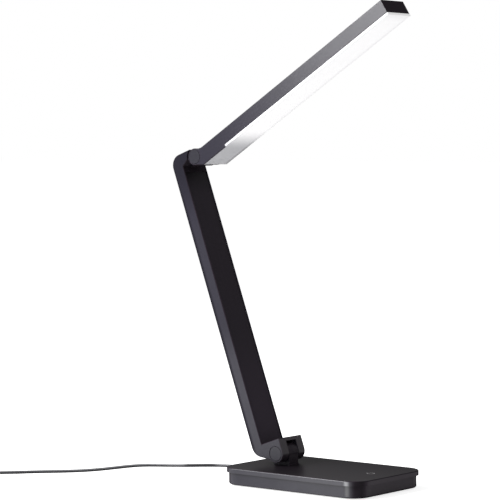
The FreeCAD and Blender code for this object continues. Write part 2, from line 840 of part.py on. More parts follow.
def make_nut(label, frame, width):
    """The lock nut on the pin's far end."""
    body = new_body(label, frame)
    turns = [2 * math.pi * corner / NUT_SIDES for corner in range(NUT_SIDES)]
    corners = [(size.nut_radius * math.cos(turn), size.nut_radius * math.sin(turn)) for turn in turns]
    seat = size.cap_thickness + size.nut_height - width / 2
    pad(body, polygon(body, "XZ_Plane", corners, seat), size.nut_height - size.pin_seat, flip=True)
    hole = circles(body, "XZ_Plane", [(0, 0)], size.pin_radius + size.pin_seat, seat)
    pocket(body, hole, size.nut_height)


def mirrored_pair(label, frame, one):
    """A group of a turned piece and its mirror image across the lamp's middle plane."""
    other = doc.addObject("Part::Mirroring", label + "_other")
    other.Source = one
    other.Normal = Vector(0, 1, 0)
    pair = doc.addObject("Part::Compound", label)
    pair.Links = [one, other]
    stand(pair, frame)


def make_caps(label, frame, width):
    """The two flush discs that hide the pin's ends."""
    one = new_body(label + "_one")
    outer = width / 2
    inner = outer - size.cap_thickness
    turned(one, "XY_Plane", [
        (0, inner),
        (size.cap_radius, inner),
        (size.cap_radius, outer - size.cap_chamfer),
        (size.cap_radius - size.cap_chamfer, outer),
        (0, outer),
    ])
    mirrored_pair(label, frame, one)


def make_washers(label, frame):
    """The two friction washers between the ears and the knuckle."""
    one = new_body(label + "_one")
    outer = size.slot_width / 2
    inner = outer - size.washer_thickness
    bore = size.pin_radius + size.pin_seat
    turned(one, "XY_Plane", [
        (bore, inner),
        (size.washer_radius, inner),
        (size.washer_radius, outer),
        (bore, outer),
    ])
    mirrored_pair(label, frame, one)


# Light bar

def make_head_shell():
    """The light bar's shell: a channel that is open below, with two ears and a slot at its root."""
    body = new_body("head_shell", HEAD_FRAME)
    side = [
        (0, size.head_top),
        head_rear,
        (head_corner, -size.head_bottom),
        (size.head_step, -size.head_bottom),
        (size.head_step, lip_level),
        (size.head_reach, lip_level),
        (size.head_reach, size.head_top),
    ]
    pad(body, polygon(body, "XZ_Plane", side), size.head_width, both_ways=True)
    pad(body, circles(body, "XZ_Plane", [(0, 0)], size.head_ear_radius), size.head_width, both_ways=True)
    across = Vector(0, 1, 0)
    soften(body, size.ear_blend,
           lambda edge: runs_along(edge, across) and at_level(edge, "z", size.head_top)
           and not at_level(edge, "x", size.head_reach))
    half_width = size.head_width / 2
    soften(body, size.head_edge,
           lambda edge: at_level(edge, "y", half_width) or at_level(edge, "y", -half_width))
    cut_fork(body, (-size.ear_radius - size.overrun, -size.head_bottom - size.overrun),
             (size.relief_radius, size.ear_radius + size.overrun))
    inner_width = size.head_width - size.head_wall * 2
    seat = rectangle(body, "XZ_Plane", (bay_start, -size.head_bottom - size.overrun),
                     (bay_end, rib_level + size.diffuser_clearance))
    pocket(body, seat, inner_width, both_ways=True)
    toe_seat = rectangle(body, "XZ_Plane", (-size.ear_radius, -size.head_bottom - size.overrun),
                         (size.head_step + size.overrun, toe_level + size.diffuser_clearance))
    pocket(body, toe_seat, size.head_width - size.toe_rim * 2, both_ways=True)
    bays = [
        (bay_start, size.bay_wall_place),
        (size.bay_wall_place + size.bay_wall, bay_end),
    ]
    for start, end in bays:
        bay = rectangle(body, "XZ_Plane", (start, lip_level), (end, head_ceiling))
        pocket(body, bay, inner_width, both_ways=True)
    notch = size.wire_radius + size.screw_clearance
    wire_way = circles(body, "YZ_Plane", [(0, head_wire_level)], notch, size.bay_wall_place - size.overrun)
    pocket(body, wire_way, size.bay_wall + size.overrun * 2, flip=True)
    thread = size.board_screw_radius + size.pin_seat
    pocket(body, circles(body, "XY_Plane", led_screw_places, thread, head_ceiling), size.led_screw_grip,
           flip=True)
    cut_hinge_seats(body, size.head_width)


def make_diffuser():
    """The white diffuser: a shallow tray over the underside, a rib in the shell and a toe under the ears."""
    body = new_body("diffuser", HEAD_FRAME)
    bottom = -size.head_bottom
    inner_width = size.head_width - size.head_wall * 2 - size.diffuser_clearance * 2
    start = bay_start + size.diffuser_clearance
    step = size.head_step + size.diffuser_clearance
    main = rectangle(body, "XZ_Plane", (step, bottom), (size.head_reach, lip_level))
    pad(body, main, size.head_width, both_ways=True)
    soften(body, size.head_edge,
           lambda edge: at_level(edge, "z", bottom) and not at_level(edge, "x", step))
    tongue = rectangle(body, "XZ_Plane", (start, bottom), (step + size.diffuser_skin, lip_level))
    pad(body, tongue, inner_width, both_ways=True)
    toe = rectangle(body, "XZ_Plane", (head_corner + size.diffuser_clearance, bottom),
                    (step + size.diffuser_skin, toe_level))
    pad(body, toe, size.head_width - size.toe_rim * 2 - size.diffuser_clearance * 2, both_ways=True)
    end = bay_end - size.diffuser_clearance
    rib = rectangle(body, "XZ_Plane", (start, lip_level), (end, rib_level))
    pad(body, rib, inner_width, both_ways=True)
    skin = size.diffuser_skin
    high = (end - skin, rib_level + size.overrun)
    hollow = rectangle(body, "XZ_Plane", (start + skin, bottom + skin), high)
    pocket(body, hollow, inner_width - skin * 2, both_ways=True)


def make_led_board():
    """The strip that carries the LEDs, screwed to the shell's roof."""
    body = new_body("led_board", HEAD_FRAME)
    start = size.led_board_start
    outline = rectangle(body, "XY_Plane", (start, -size.led_board_width / 2),
                        (start + led_board_length, size.led_board_width / 2), head_ceiling)
    pad(body, outline, size.led_board_thickness, flip=True)
    loose = size.board_screw_radius + size.screw_clearance
    holes = circles(body, "XY_Plane", led_screw_places, loose, head_ceiling)
    pocket(body, holes, size.led_board_thickness)


def make_leds():
    """A row of LEDs under the board, one pad repeated along it."""
    body = new_body("leds", HEAD_FRAME)
    row = led_board_length - size.led_margin * 2 - size.led_length
    start = size.led_board_start + size.led_margin
    outline = rectangle(body, "XY_Plane", (start, -size.led_width / 2),
                        (start + size.led_length, size.led_width / 2),
                        head_ceiling - size.led_board_thickness)
    first = pad(body, outline, size.led_height, flip=True)
    pattern = body.newObject("PartDesign::LinearPattern", "leds_row")
    pattern.Originals = [first]
    pattern.Direction = (origin_part(body, "X_Axis"), [""])
    tie(pattern, "Length", row)
    pattern.Occurrences = LED_COUNT
    body.Tip = pattern
    doc.recompute()


def make_led_board_screws():
    """The three screws that hold the LED board against the roof."""
    body = new_body("led_board_screws", HEAD_FRAME)
    seat = head_ceiling - size.led_board_thickness
    heads = circles(body, "XY_Plane", led_screw_places, size.board_screw_head_radius, seat)
    pad(body, heads, size.board_screw_head_height, flip=True)
    shanks = circles(body, "XY_Plane", led_screw_places, size.board_screw_radius, seat)
    pad(body, shanks, size.led_board_thickness + size.led_screw_grip)


def make_reflector():
    """The white sheet round the LED board, against the roof."""
    body = new_body("reflector", HEAD_FRAME)
    margin = size.reflector_margin
    half = size.head_width / 2 - size.head_wall - size.diffuser_clearance
    start = size.bay_wall_place + size.bay_wall + margin
    outline = rectangle(body, "XY_Plane", (start, -half), (bay_end - margin, half), head_ceiling)
    pad(body, outline, size.reflector_sheet, flip=True)
    board_start = size.led_board_start - margin
    board_end = size.led_board_start + led_board_length + margin
    board_half = size.led_board_width / 2 + margin
    window = rectangle(body, "XY_Plane", (board_start, -board_half), (board_end, board_half), head_ceiling)
    pocket(body, window, size.reflector_sheet)


def make_head_wire():
    """The wire from the hinge bay through the bay wall to the LED board's underside."""
    body = new_body("head_wire", HEAD_FRAME)
    end = size.led_board_start + size.wire_radius * 2
    run = circles(body, "YZ_Plane", [(0, head_wire_level)], size.wire_radius, bay_start)
    pad(body, run, end - bay_start)


# Lead and plug

def make_cord_gland():
    """The strain relief: a neck through the tray's wall, flanges on both sides and a ribbed taper."""
    body = new_body("cord_gland", BASE_FRAME)
    wall = -tray_length / 2
    inside = wall + size.tray_wall
    root = wall - size.gland_flange
    tip = root - size.gland_length
    axis = size.exit_height
    profile = [
        (inside + size.gland_flange, axis),
        (inside + size.gland_flange, axis + size.gland_flange_radius),
        (inside, axis + size.gland_flange_radius),
        (inside, axis + size.gland_neck_radius - size.pin_seat),
        (wall, axis + size.gland_neck_radius - size.pin_seat),
        (wall, axis + size.gland_flange_radius),
        (root, axis + size.gland_flange_radius),
        (root, axis + size.gland_root_radius),
        (tip, axis + size.gland_tip_radius),
        (tip, axis),
    ]
    turn = body.newObject("PartDesign::Revolution", "cord_gland_turn")
    turn.Profile = polygon(body, "XZ_Plane", profile)
    turn.ReferenceAxis = (turn.Profile[0], ["Edge%d" % len(profile)])
    doc.recompute()
    slot_start = root - size.gland_groove_pitch
    slot_bottom = axis + size.gland_tip_radius - size.gland_groove_depth
    groove = body.newObject("PartDesign::Groove", "cord_gland_groove")
    groove.Profile = polygon(body, "XZ_Plane", [
        (slot_start, slot_bottom),
        (slot_start, axis + size.gland_flange_radius),
        (slot_start + size.gland_groove, axis + size.gland_flange_radius),
        (slot_start + size.gland_groove, slot_bottom),
    ])
    groove.ReferenceAxis = (turn.Profile[0], ["Edge%d" % len(profile)])
    before = turn.Shape.Volume
    doc.recompute()
    pattern = body.newObject("PartDesign::LinearPattern", "cord_gland_grooves")
    pattern.Originals = [groove]
    pattern.Direction = (origin_part(body, "X_Axis"), [""])
    pattern.Reversed = True
    tie(pattern, "Length", size.gland_groove_pitch * (GLAND_GROOVE_COUNT - 1))
    pattern.Occurrences = GLAND_GROOVE_COUNT
    body.Tip = pattern
    doc.recompute()
    if pattern.Shape.Volume >= before:
        raise RuntimeError("cord_gland: the grooves cut nothing")


def arc_through(start, heading, end):
    """The arc from a point along a heading to another point."""
    chord = end - start
    along = Vector(chord).normalize()
    bulge = heading - along * heading.dot(along)
    half_turn = math.atan2(bulge.Length, heading.dot(along))
    if bulge.Length < STRAIGHT_SLACK:
        return Part.LineSegment(start, end).toShape()
    middle = (start + end) * 0.5 + bulge.normalize() * (chord.Length / 2 * math.tan(half_turn / 2))
    return Part.Arc(start, middle, end).toShape()


def rounded_path(name, points):
    """Straight runs joined by tangent arcs, each as large as its two runs allow."""
    edges = []
    radii = []
    here = points[0]
    for before, corner, after in zip(points, points[1:], points[2:]):
        back = (before - corner).normalize()
        on = (after - corner).normalize()
        shorter = min((before - corner).Length, (after - corner).Length)
        reach = ARC_RUN_SHARE * shorter
        half_turn = (math.pi - back.getAngle(on)) / 2
        radii.append(reach / math.tan(half_turn))
        start = corner + back * reach
        end = corner + on * reach
        edges.append(Part.LineSegment(here, start).toShape())
        edges.append(arc_through(start, back * -1, end))
        here = end
    edges.append(Part.LineSegment(here, points[-1]).toShape())
    print(name, "least arc radius %.1f mm" % min(radii))
    return edges


def coil_points(start, heading):
    """Quarter-turn points and headings of a piled coil that starts at a point along a heading."""
    inner = size.coil_inner_radius.value
    pitch = size.coil_pitch.value
    layer = size.coil_layer.value
    outer = inner + pitch * QUARTERS_PER_LAYER / 4
    inward = Vector(heading.y, -heading.x, 0)
    centre = start + inward * outer
    first_turn = math.atan2(-inward.y, -inward.x)
    last = COIL_LAYERS * QUARTERS_PER_LAYER
    nodes = []
    for quarter in range(last + 1):
        level, along = divmod(quarter, QUARTERS_PER_LAYER)
        shift = pitch * along / 4
        radius = inner + shift if level % 2 else outer - shift
        turn = first_turn - math.pi / 2 * quarter
        outward = Vector(math.cos(turn), math.sin(turn), 0)
        onward = Vector(outward.y, -outward.x, 0)
        spread = pitch / (2 * math.pi) * (1 if level % 2 else -1)
        rise = 0.0
        height = layer * level
        if along == 0:
            spread = 0.0
        if along == 0 and 0 < quarter < last:
            height -= layer / 2
            rise = CLIMB_PEAK_SHARE * layer / math.pi
        if quarter == last:
            height -= layer
        place = centre + outward * radius + Vector(0, 0, height)
        going = onward * radius + outward * spread + Vector(0, 0, rise)
        nodes.append((place, going.normalize()))
    return centre, nodes


def biarc(start, heading, end, end_heading):
    """Two tangent arcs between two points with given headings."""
    chord = end - start
    both = heading + end_heading
    bend = 2 * (1 - heading.dot(end_heading))
    reach = (math.sqrt(chord.dot(both) ** 2 + bend * chord.dot(chord)) - chord.dot(both)) / bend
    first = start + heading * reach
    second = end - end_heading * reach
    middle = (first + second) * 0.5
    return [
        arc_through(start, heading, middle),
        arc_through(middle, (second - first).normalize(), end),
    ]


def sweep_cord(label, edges):
    """A faceted cord of the lead's thickness along a path of lines and arcs."""
    path = Part.Wire(edges)
    start = edges[0].valueAt(edges[0].FirstParameter)
    heading = edges[0].tangentAt(edges[0].FirstParameter)
    across = heading.cross(Vector(0, 0, 1)).normalize()
    up = across.cross(heading).normalize()
    reach = size.cord_radius.value / math.cos(math.pi / CORD_SIDES)
    turns = [2 * math.pi * (side + 0.5) / CORD_SIDES for side in range(CORD_SIDES)]
    ring = [start + across * (reach * math.cos(turn)) + up * (reach * math.sin(turn)) for turn in turns]
    section = Part.makePolygon(ring + ring[:1])
    solid = path.makePipeShell([section], True, False)
    area = CORD_SIDES * reach * reach * math.sin(2 * math.pi / CORD_SIDES) / 2
    print(label, "length %.1f mm, volume share %.4f" % (path.Length, solid.Volume / (area * path.Length)))
    feature = doc.addObject("Part::Feature", label)
    feature.Shape = solid
    pieces.append(feature)
    return path.Length


def least_gap(edges):
    """The least gap between turns of the coil, measured on points along its path."""
    points = []
    travelled = 0.0
    for edge in edges:
        for step in range(GAP_STEPS):
            share = step / GAP_STEPS
            parameter = edge.FirstParameter + (edge.LastParameter - edge.FirstParameter) * share
            points.append((edge.valueAt(parameter), travelled + edge.Length * share))
        travelled += edge.Length
    apart = size.cord_radius.value * 2 * math.pi
    least = travelled
    for index, (place, along) in enumerate(points):
        for other, further in points[index + 1:]:
            if further - along > apart:
                least = min(least, (other - place).Length)
    return least - size.cord_radius.value * 2


def make_cord():
    """The lead on the desk, its put-away coil and the tail to the plug."""
    lead = [Vector(*point) for point in LEAD_POINTS]
    lead_length = sweep_cord("cord_lead", rounded_path("cord_lead", lead))
    heading = lead[-1] - lead[-2]
    heading.z = 0
    heading.normalize()
    straight = size.cord_radius.value * 2
    start = lead[-1] + heading * straight
    centre, nodes = coil_points(start, heading)
    edges = [Part.LineSegment(lead[-1], start).toShape()]
    for (place, going), (following, onward) in zip(nodes, nodes[1:]):
        edges += biarc(place, going, following, onward)
    end = nodes[-1][0] + heading * straight
    edges.append(Part.LineSegment(nodes[-1][0], end).toShape())
    coil_length = sweep_cord("cord_coil", edges)
    print("cord_coil least gap %.2f mm" % least_gap(edges))
    sideways = Vector(-heading.y, heading.x, 0)
    tail = [end + heading * ahead + sideways * aside for ahead, aside, height in TAIL_STEPS]
    for point, (ahead, aside, height) in zip(tail, TAIL_STEPS):
        point.z = height
    tail_length = sweep_cord("cord_tail", rounded_path("cord_tail", tail))
    print("cord length %.0f mm" % (lead_length + coil_length + tail_length))
    make_cord_tie(centre, heading, nodes[0][0].z)
    turn = math.degrees(math.atan2(heading.y, heading.x))
    plug_place = FreeCAD.Placement(tail[-1], FreeCAD.Rotation(Vector(0, 0, 1), turn))
    make_plug(plug_place)


def make_cord_tie(centre, heading, first_height):
    """The band round the coil's bundle, on the side away from the lead."""
    body = new_body("cord_tie")
    pieces.append(body)
    radius = size.cord_radius + size.tie_clearance
    outer = size.coil_inner_radius + size.coil_pitch * QUARTERS_PER_LAYER / 4 + radius
    bulge = size.tie_width * size.tie_width / 8 / (size.coil_inner_radius - size.cord_radius)
    inner = size.coil_inner_radius - radius - bulge
    top = size.coil_layer * (COIL_LAYERS - 1) + radius
    sheet_size = size.tie_thickness
    band = rectangle(body, "XZ_Plane", (inner - sheet_size, -radius - sheet_size),
                     (outer + sheet_size, top + sheet_size))
    pad(body, band, size.tie_width, both_ways=True)
    soften(body, size.cord_radius, lambda edge: runs_along(edge, Vector(0, 1, 0)))
    pocket(body, rectangle(body, "XZ_Plane", (inner, -radius), (outer, top)), size.tie_width + size.overrun,
           both_ways=True)
    turn = math.degrees(math.atan2(-heading.x, heading.y))
    place = Vector(centre.x, centre.y, first_height)
    body.Placement = FreeCAD.Placement(place, FreeCAD.Rotation(Vector(0, 0, 1), turn))


def make_plug(place):
    """The plug: a moulded grip with a tapered neck, a folded metal shell and the tongue in it."""
    grip = new_body("plug_grip")
    neck = [
        (0, 0),
        (0, size.grip_neck_radius),
        (size.grip_neck_length, size.grip_neck_root_radius),
        (size.grip_neck_length, 0),
    ]
    turn = grip.newObject("PartDesign::Revolution", "plug_grip_neck")
    turn.Profile = polygon(grip, "XZ_Plane", neck)
    turn.ReferenceAxis = (turn.Profile[0], ["H_Axis"])
    doc.recompute()
    body_end = size.grip_neck_length + size.grip_length
    outline = rectangle(grip, "XY_Plane", (size.grip_neck_length, -size.grip_width / 2),
                        (body_end, size.grip_width / 2))
    pad(grip, outline, size.grip_height, both_ways=True)
    soften(grip, size.grip_corner,
           lambda edge: upright(edge) and at_level(edge, "x", size.grip_neck_length))
    half = size.grip_height / 2
    soften(grip, size.grip_edge, lambda edge: at_level(edge, "z", half) or at_level(edge, "z", -half))
    shell = new_body("plug_shell")
    sheet_size = size.shell_sheet
    box = rectangle(shell, "YZ_Plane", (-size.shell_width / 2, -size.shell_height / 2),
                    (size.shell_width / 2, size.shell_height / 2), body_end)
    pad(shell, box, size.shell_length)
    soften(shell, sheet_size, lambda edge: runs_along(edge, Vector(1, 0, 0)))
    half_width = size.shell_width / 2 - sheet_size
    half_height = size.shell_height / 2 - sheet_size
    inside = rectangle(shell, "YZ_Plane", (-half_width, -half_height), (half_width, half_height), body_end)
    pocket(shell, inside, size.shell_length, flip=True)
    for side in (-1, 1):
        middle = size.shell_window_spacing / 2 * side
        window = rectangle(shell, "XY_Plane",
                           (body_end + size.shell_window_place, middle - size.shell_window_width / 2),
                           (body_end + size.shell_window_place + size.shell_window_length,
                            middle + size.shell_window_width / 2))
        pocket(shell, window, size.shell_height + size.overrun, both_ways=True)
    tongue = new_body("plug_tongue")
    top = size.shell_height / 2 - sheet_size
    block = rectangle(tongue, "YZ_Plane", (-size.tongue_width / 2, top - size.tongue_height),
                      (size.tongue_width / 2, top), body_end)
    pad(tongue, block, size.shell_length - size.tongue_setback)
    for body in (grip, shell, tongue):
        body.Placement = place
        pieces.append(body)


def sweep_wire(label, points):
    """A round wire along straight runs and arcs, through points given in sizes."""
    places = [Vector(*[as_size(number).value for number in point]) for point in points]
    edges = rounded_path(label, places)
    heading = places[1] - places[0]
    section = Part.Wire(Part.makeCircle(size.wire_radius.value, places[0], heading))
    feature = doc.addObject("Part::Feature", label)
    feature.Shape = Part.Wire(edges).makePipeShell([section], True, False)
    pieces.append(feature)


def make_inner_wires():
    """The wires in the base: from the gland to the board, and from the board to the knuckle."""
    start = size.tray_wall + size.gland_flange - tray_length / 2
    end = touch_x - size.part_spacing - size.socket_length / 2
    socket_level = board_bottom - size.socket_height / 2
    aside = size.wire_spacing
    sweep_wire("supply_wire", [
        (start, 0, size.exit_height),
        (start + aside, 0, size.exit_height),
        (start + aside * 3, -aside, size.wire_height),
        (end - aside * 3, -aside, size.wire_height),
        (end - aside, -aside, socket_level),
        (end, -aside, socket_level),
    ])
    sweep_wire("riser_wire", [
        (end, aside, socket_level),
        (end - aside, aside, socket_level),
        (end - aside * 3, aside, size.wire_height),
        (hinge_x + aside * 2, aside, size.wire_height),
        (hinge_x, 0, size.wire_height),
        (hinge_x, 0, lid_top + size.knuckle_screw_reach - size.wire_radius),
    ])


def check_and_write():
    """Make sure that every object is sound, then write one file for each sub-part."""
    doc.recompute()
    for item in doc.Objects:
        if "Invalid" in item.State or "Error" in item.State:
            raise RuntimeError("%s failed: %s" % (item.Label, item.State))
    os.makedirs("parts", exist_ok=True)
    for piece in pieces:
        if piece.Shape.isNull() or not piece.Shape.isValid():
            raise RuntimeError(piece.Label + " has no valid shape")
        piece.Shape.exportStep("parts/%s.step" % piece.Label)
        print("%-24s solids %d volume %.0f" % (piece.Label, len(piece.Shape.Solids), piece.Shape.Volume))


make_base_lid()
make_base_tray()
make_rubber_feet()
make_screws("base_screws", screw_places, size.foot_gap + size.screw_sink, size.screw_radius,
            size.screw_head_radius, size.screw_head_height,
            post_bottom + size.screw_grip - size.foot_gap - size.screw_head_height - size.screw_sink * 2)
make_ballast_plate()
make_hinge_knuckle()
make_knuckle_plate()
make_screws("knuckle_screws", knuckle_screw_places,
            lid_under - size.knuckle_plate_thickness - size.screw_head_height, size.screw_radius,
            size.screw_head_radius, size.screw_head_height,
            size.knuckle_plate_thickness + size.lid_plate + size.knuckle_screw_reach - size.screw_sink)
make_touch_electrode()
make_control_board()
make_board_parts()
make_screws("board_screws", board_post_places, board_bottom - size.board_screw_head_height,
            size.board_screw_radius, size.board_screw_head_radius, size.board_screw_head_height,
            size.board_thickness + size.board_standoff)
make_arm_shell()
make_arm_front_cover()
make_arm_wire()
make_head_shell()
make_diffuser()
make_led_board()
make_leds()
make_led_board_screws()
make_reflector()
make_head_wire()
for hinge, frame, width in (("lower", ARM_FRAME, size.arm_width), ("upper", HEAD_FRAME, size.head_width)):
    make_pin(hinge + "_hinge_pin", frame, width)
    make_nut(hinge + "_lock_nut", frame, width)
    make_caps(hinge + "_hinge_caps", frame, width)
    make_washers(hinge + "_friction_washers", frame)
make_cord_gland()
make_inner_wires()
make_cord()
check_and_write()
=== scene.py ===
"""Looks of a folding desk lamp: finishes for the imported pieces, the lead, small fittings and the studio."""
import json
import math

import bmesh
import bpy
from bpy.props import FloatProperty, FloatVectorProperty, PointerProperty
from mathutils import Matrix, Vector


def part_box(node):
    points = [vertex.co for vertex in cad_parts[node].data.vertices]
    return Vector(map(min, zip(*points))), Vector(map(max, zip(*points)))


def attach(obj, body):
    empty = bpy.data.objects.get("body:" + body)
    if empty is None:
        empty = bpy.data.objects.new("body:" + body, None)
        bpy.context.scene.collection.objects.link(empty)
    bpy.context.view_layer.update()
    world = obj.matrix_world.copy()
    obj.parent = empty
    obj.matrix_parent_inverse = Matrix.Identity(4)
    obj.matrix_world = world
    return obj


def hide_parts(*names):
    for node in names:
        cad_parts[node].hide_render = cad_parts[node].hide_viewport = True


bl_info = {
    "name": "Folding Desk Lamp",
    "version": (1, 0, 0),
    "blender": (4, 5, 0),
    "location": "View3D > Sidebar > Desk Lamp",
    "description": "Dresses the packed desk lamp and sets up its studio",
    "category": "Object",
}

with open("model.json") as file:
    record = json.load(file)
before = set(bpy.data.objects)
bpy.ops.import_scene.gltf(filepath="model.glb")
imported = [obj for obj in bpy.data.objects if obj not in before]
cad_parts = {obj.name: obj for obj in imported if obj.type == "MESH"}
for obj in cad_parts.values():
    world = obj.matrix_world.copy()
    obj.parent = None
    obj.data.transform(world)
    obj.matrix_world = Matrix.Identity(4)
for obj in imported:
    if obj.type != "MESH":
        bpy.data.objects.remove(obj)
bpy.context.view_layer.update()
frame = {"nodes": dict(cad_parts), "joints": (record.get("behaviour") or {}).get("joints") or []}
NODES = frame["nodes"]
MM = 0.001
UP = Vector((0, 0, 1))

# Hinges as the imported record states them, the arm's lean and the light bar's rise at rest
ARM_HINGE, HEAD_HINGE = [Vector(joint["pos_m"]) for joint in frame["joints"]]
ARM_LEAN = math.radians(20.2)
HEAD_RISE = math.radians(32.1)

# Centre and radius of the arm's shoulder in the arm's own frame: across and along
SHOULDER_RADIUS = 0.0105
SHOULDER = (-0.0253 + SHOULDER_RADIUS, 0.3008 - SHOULDER_RADIUS)

# Start and end of each change of finish on the arm, from its hinge upwards
FORK_END = (0.011, 0.0135)
ARM_LOWER_FADE = (0.08, 0.14)
ARM_UPPER_FADE = (0.21, 0.255)
# ARM_TOP bounds painted shade at the arm's top, COVER_FOOT a painted lighter foot on its cover and COVER_TOP
# painted shade at the cover's top
ARM_TOP = (0.238, 0.288)
COVER_FOOT = (0.03, 0.14)
COVER_TOP = (0.258, 0.285)
# The same for the painted shade along its back edge, from the shoulder's centre outwards
BACK_EDGE = (SHOULDER_RADIUS - 4.8 * MM, SHOULDER_RADIUS - 1.4 * MM)

# Start and end of each change of finish on the light bar, from its hinge to its tip
BAR_SHINE = (-0.02, 0.16)
BAR_LIT = (0.033, 0.067)
BAR_TIP = (0.2470, 0.2555)
# The same from its middle to its two sides
FAR_RIM = (0.0115, 0.0155)
NEAR_RIM = (0.0135, 0.0165)

# Start and end of each change of finish on the base and the lead, from back to front
BASE_SHINE = (-0.08, 0.06)
# On the lead: where its painted highlight grows stronger, and the stretch where that highlight and the coat
# are left out
LEAD_NEAR = (-0.27, -0.22)
LEAD_DARK_START = (-0.176, -0.162)
LEAD_DARK_END = (-0.134, -0.120)

# How squarely a face looks along an axis, as ranges of its normal
SIDE_FACE = (0.76, 0.97)
TOP_FACE = (0.90, 0.99)
END_FACE = (0.93, 0.995)
AHEAD_FACE = (-0.05, 0.05)
UPPER_FACE = (-0.1, 0.6)
# CORNER_START and CORNER_END: where the painted highlight on a side's turn starts and ends
CORNER_START = (0.90, 0.965)
CORNER_END = (0.972, 0.998)
# ROUND_START and ROUND_END: where the painted shade on the base's round corners starts and ends
ROUND_START = (0.30, 0.72)
ROUND_END = (0.86, 1.0)

# Size of the grain in each finish, and width of the painted highlight on the shells' edges
SHELL_GRAIN = 0.35 * MM
COVER_GRAIN = 0.22 * MM
CAP_GRAIN = 0.25 * MM
DIFFUSER_GRAIN = 0.5 * MM
RUBBER_GRAIN = 0.4 * MM
LEAD_GRAIN = 0.3 * MM
INK_GRAIN = 0.2 * MM
EDGE_HIGHLIGHT_WIDTH = 0.6 * MM
EDGE_SAMPLES = 12

# Share of a shell's red, green and blue on its smoother sides: a darker bluish copy of the colour that stands
# for painted sheen
SIDE_SHEEN_TINT = (0.71, 0.84, 0.90)

# Colours that no one sets: metal, the plug's inside, foam and light
PLUG_METAL = (0.78, 0.78, 0.80)
PLUG_INSULATOR = (0.8, 0.8, 0.78)
SCREW_METAL = (0.50, 0.50, 0.51)
INNER_STEEL = (0.52, 0.52, 0.53)
ELECTRODE_FOAM = (0.09, 0.09, 0.10)
LED_WHITE = (1.0, 0.99, 0.975)
WHITE = (1.0, 1.0, 1.0, 1.0)
# Plain sheets and boards that the shells hide: finish, colour and nodes
INNER_SHEETS = (
    ("white_sheet", (0.88, 0.88, 0.88), "reflector", "led_board"),
    ("phosphor", (0.85, 0.72, 0.28), "leds"),
    ("board_resist", (0.03, 0.16, 0.07), "control_board"),
    ("board_moulding", (0.04, 0.04, 0.04), "board_parts"),
    ("washer_nylon", (0.62, 0.62, 0.58), "lower_friction_washers", "upper_friction_washers"),
)

# Route of the lead on the desk, the same points as the solid's
LEAD_POINTS = (
    (-0.0992, 0.0000, 0.0094),
    (-0.1110, 0.0000, 0.0094),
    (-0.1270, 0.0014, 0.0081),
    (-0.1456, 0.0028, 0.0063),
    (-0.1672, 0.0034, 0.0041),
    (-0.1900, 0.0032, 0.0023),
    (-0.2065, -0.0008, 0.0016),
    (-0.2162, -0.0102, 0.0016),
    (-0.2212, -0.0230, 0.0016),
    (-0.2242, -0.0380, 0.0016),
    (-0.2280, -0.0535, 0.0016),
    (-0.2344, -0.0690, 0.0016),
    (-0.2454, -0.0836, 0.0016),
    (-0.2594, -0.0974, 0.0016),
    (-0.2730, -0.1126, 0.0016),
    (-0.2846, -0.1290, 0.0019),
    (-0.2940, -0.1440, 0.0026),
    (-0.3030, -0.1570, 0.0026),
)
# Steps of the tail from the coil to the plug: ahead, aside and height above the desk
TAIL_STEPS = (
    (0.0, 0.0, 0.0134),
    (0.0070, 0.0, 0.0134),
    (0.0140, 0.0005, 0.0122),
    (0.0220, 0.0014, 0.0088),
    (0.0300, 0.0021, 0.0056),
    (0.0380, 0.0025, 0.0041),
    (0.0450, 0.0025, 0.0041),
)
COIL_LAYERS = 4
COIL_TURNS_PER_LAYER = 2.5
COIL_POINTS_PER_TURN = 16
CLIMB_TURN_SHARE = 0.25
LEAD_ROUNDNESS = 4
LEAD_STEPS = 6

# Small forms of the tie and of its overlapping end, which stops short below and above
TIE_CORNER = 1.5 * MM
TIE_TAIL_CORNER = 1.6 * MM
TIE_TAIL_GAPS = (4 * MM, 3 * MM)
TIE_TAIL_SHARE = 0.9

# Small forms of the plug
GRIP_CORNER = 2.5 * MM
GRIP_EDGE = 1.0 * MM
GRIP_FLAT_AREA = 100 * MM * MM
PANEL_MARGIN = 1.8 * MM
RIB_COUNT = 6
RIB_EDGE = 0.15 * MM
RIB_WIDTH_SHARE = 0.6
# Foot and crest of a rib below the grip's face, in heights of the rib
RIB_FOOT = 1.5
RIB_CREST = 0.2
NECK_RINGS = 4
# One ring of the neck: shares of its pitch, and depths below its crest
NECK_RING = ((0.0, 0.0), (0.6, 0.0), (0.65, 0.4 * MM), (0.95, 0.4 * MM))

# A foot's rounded rim, as insets and heights, and its ring groove, as shares of its radius and heights
FOOT_RIM = ((0.0, 0.5 * MM), (0.2 * MM, 0.15 * MM), (0.6 * MM, 0.0))
FOOT_GROOVE = ((0.72, 0.0), (0.68, 0.5 * MM), (0.52, 0.5 * MM), (0.48, 0.0))

# Small forms of the screws and of the touch mark
SCREW_CHAMFER = 0.3 * MM
SCREW_STEPS = 24
CROSS_DEPTH = 0.9 * MM
INK_THICKNESS = 0.03 * MM
MARK_GAP = math.radians(38)
MARK_STEPS = 40

# Limits of the mesh steps: merged corners, smooth rounds, and faces or edges square to an axis
MERGE_DISTANCE = 0.002 * MM
SMOOTH_ANGLE = math.radians(35)
SQUARE_ON = 0.99

# Lamps of the studio: name, place, point that it looks at and length of its sides
LAMPS = (
    ("key", (-1.15, -0.75, 1.35), (-0.05, 0.0, 0.1), 0.8),
    ("sheen", (-0.29, -0.55, 0.50), (0.08, 0.0, 0.44), 0.25),
    ("fill", (-0.30, -0.90, 0.60), (0.0, -0.05, 0.0), 0.30),
)
FLOOR_REACH = 30.0
FLOOR_DROP = 0.02 * MM
FLOOR_PAINT = (0.86, 0.86, 0.86, 1.0)
FLOOR_GLOW = 0.8
SENSOR_WIDTH = 36.0
CLIP_START = 0.05


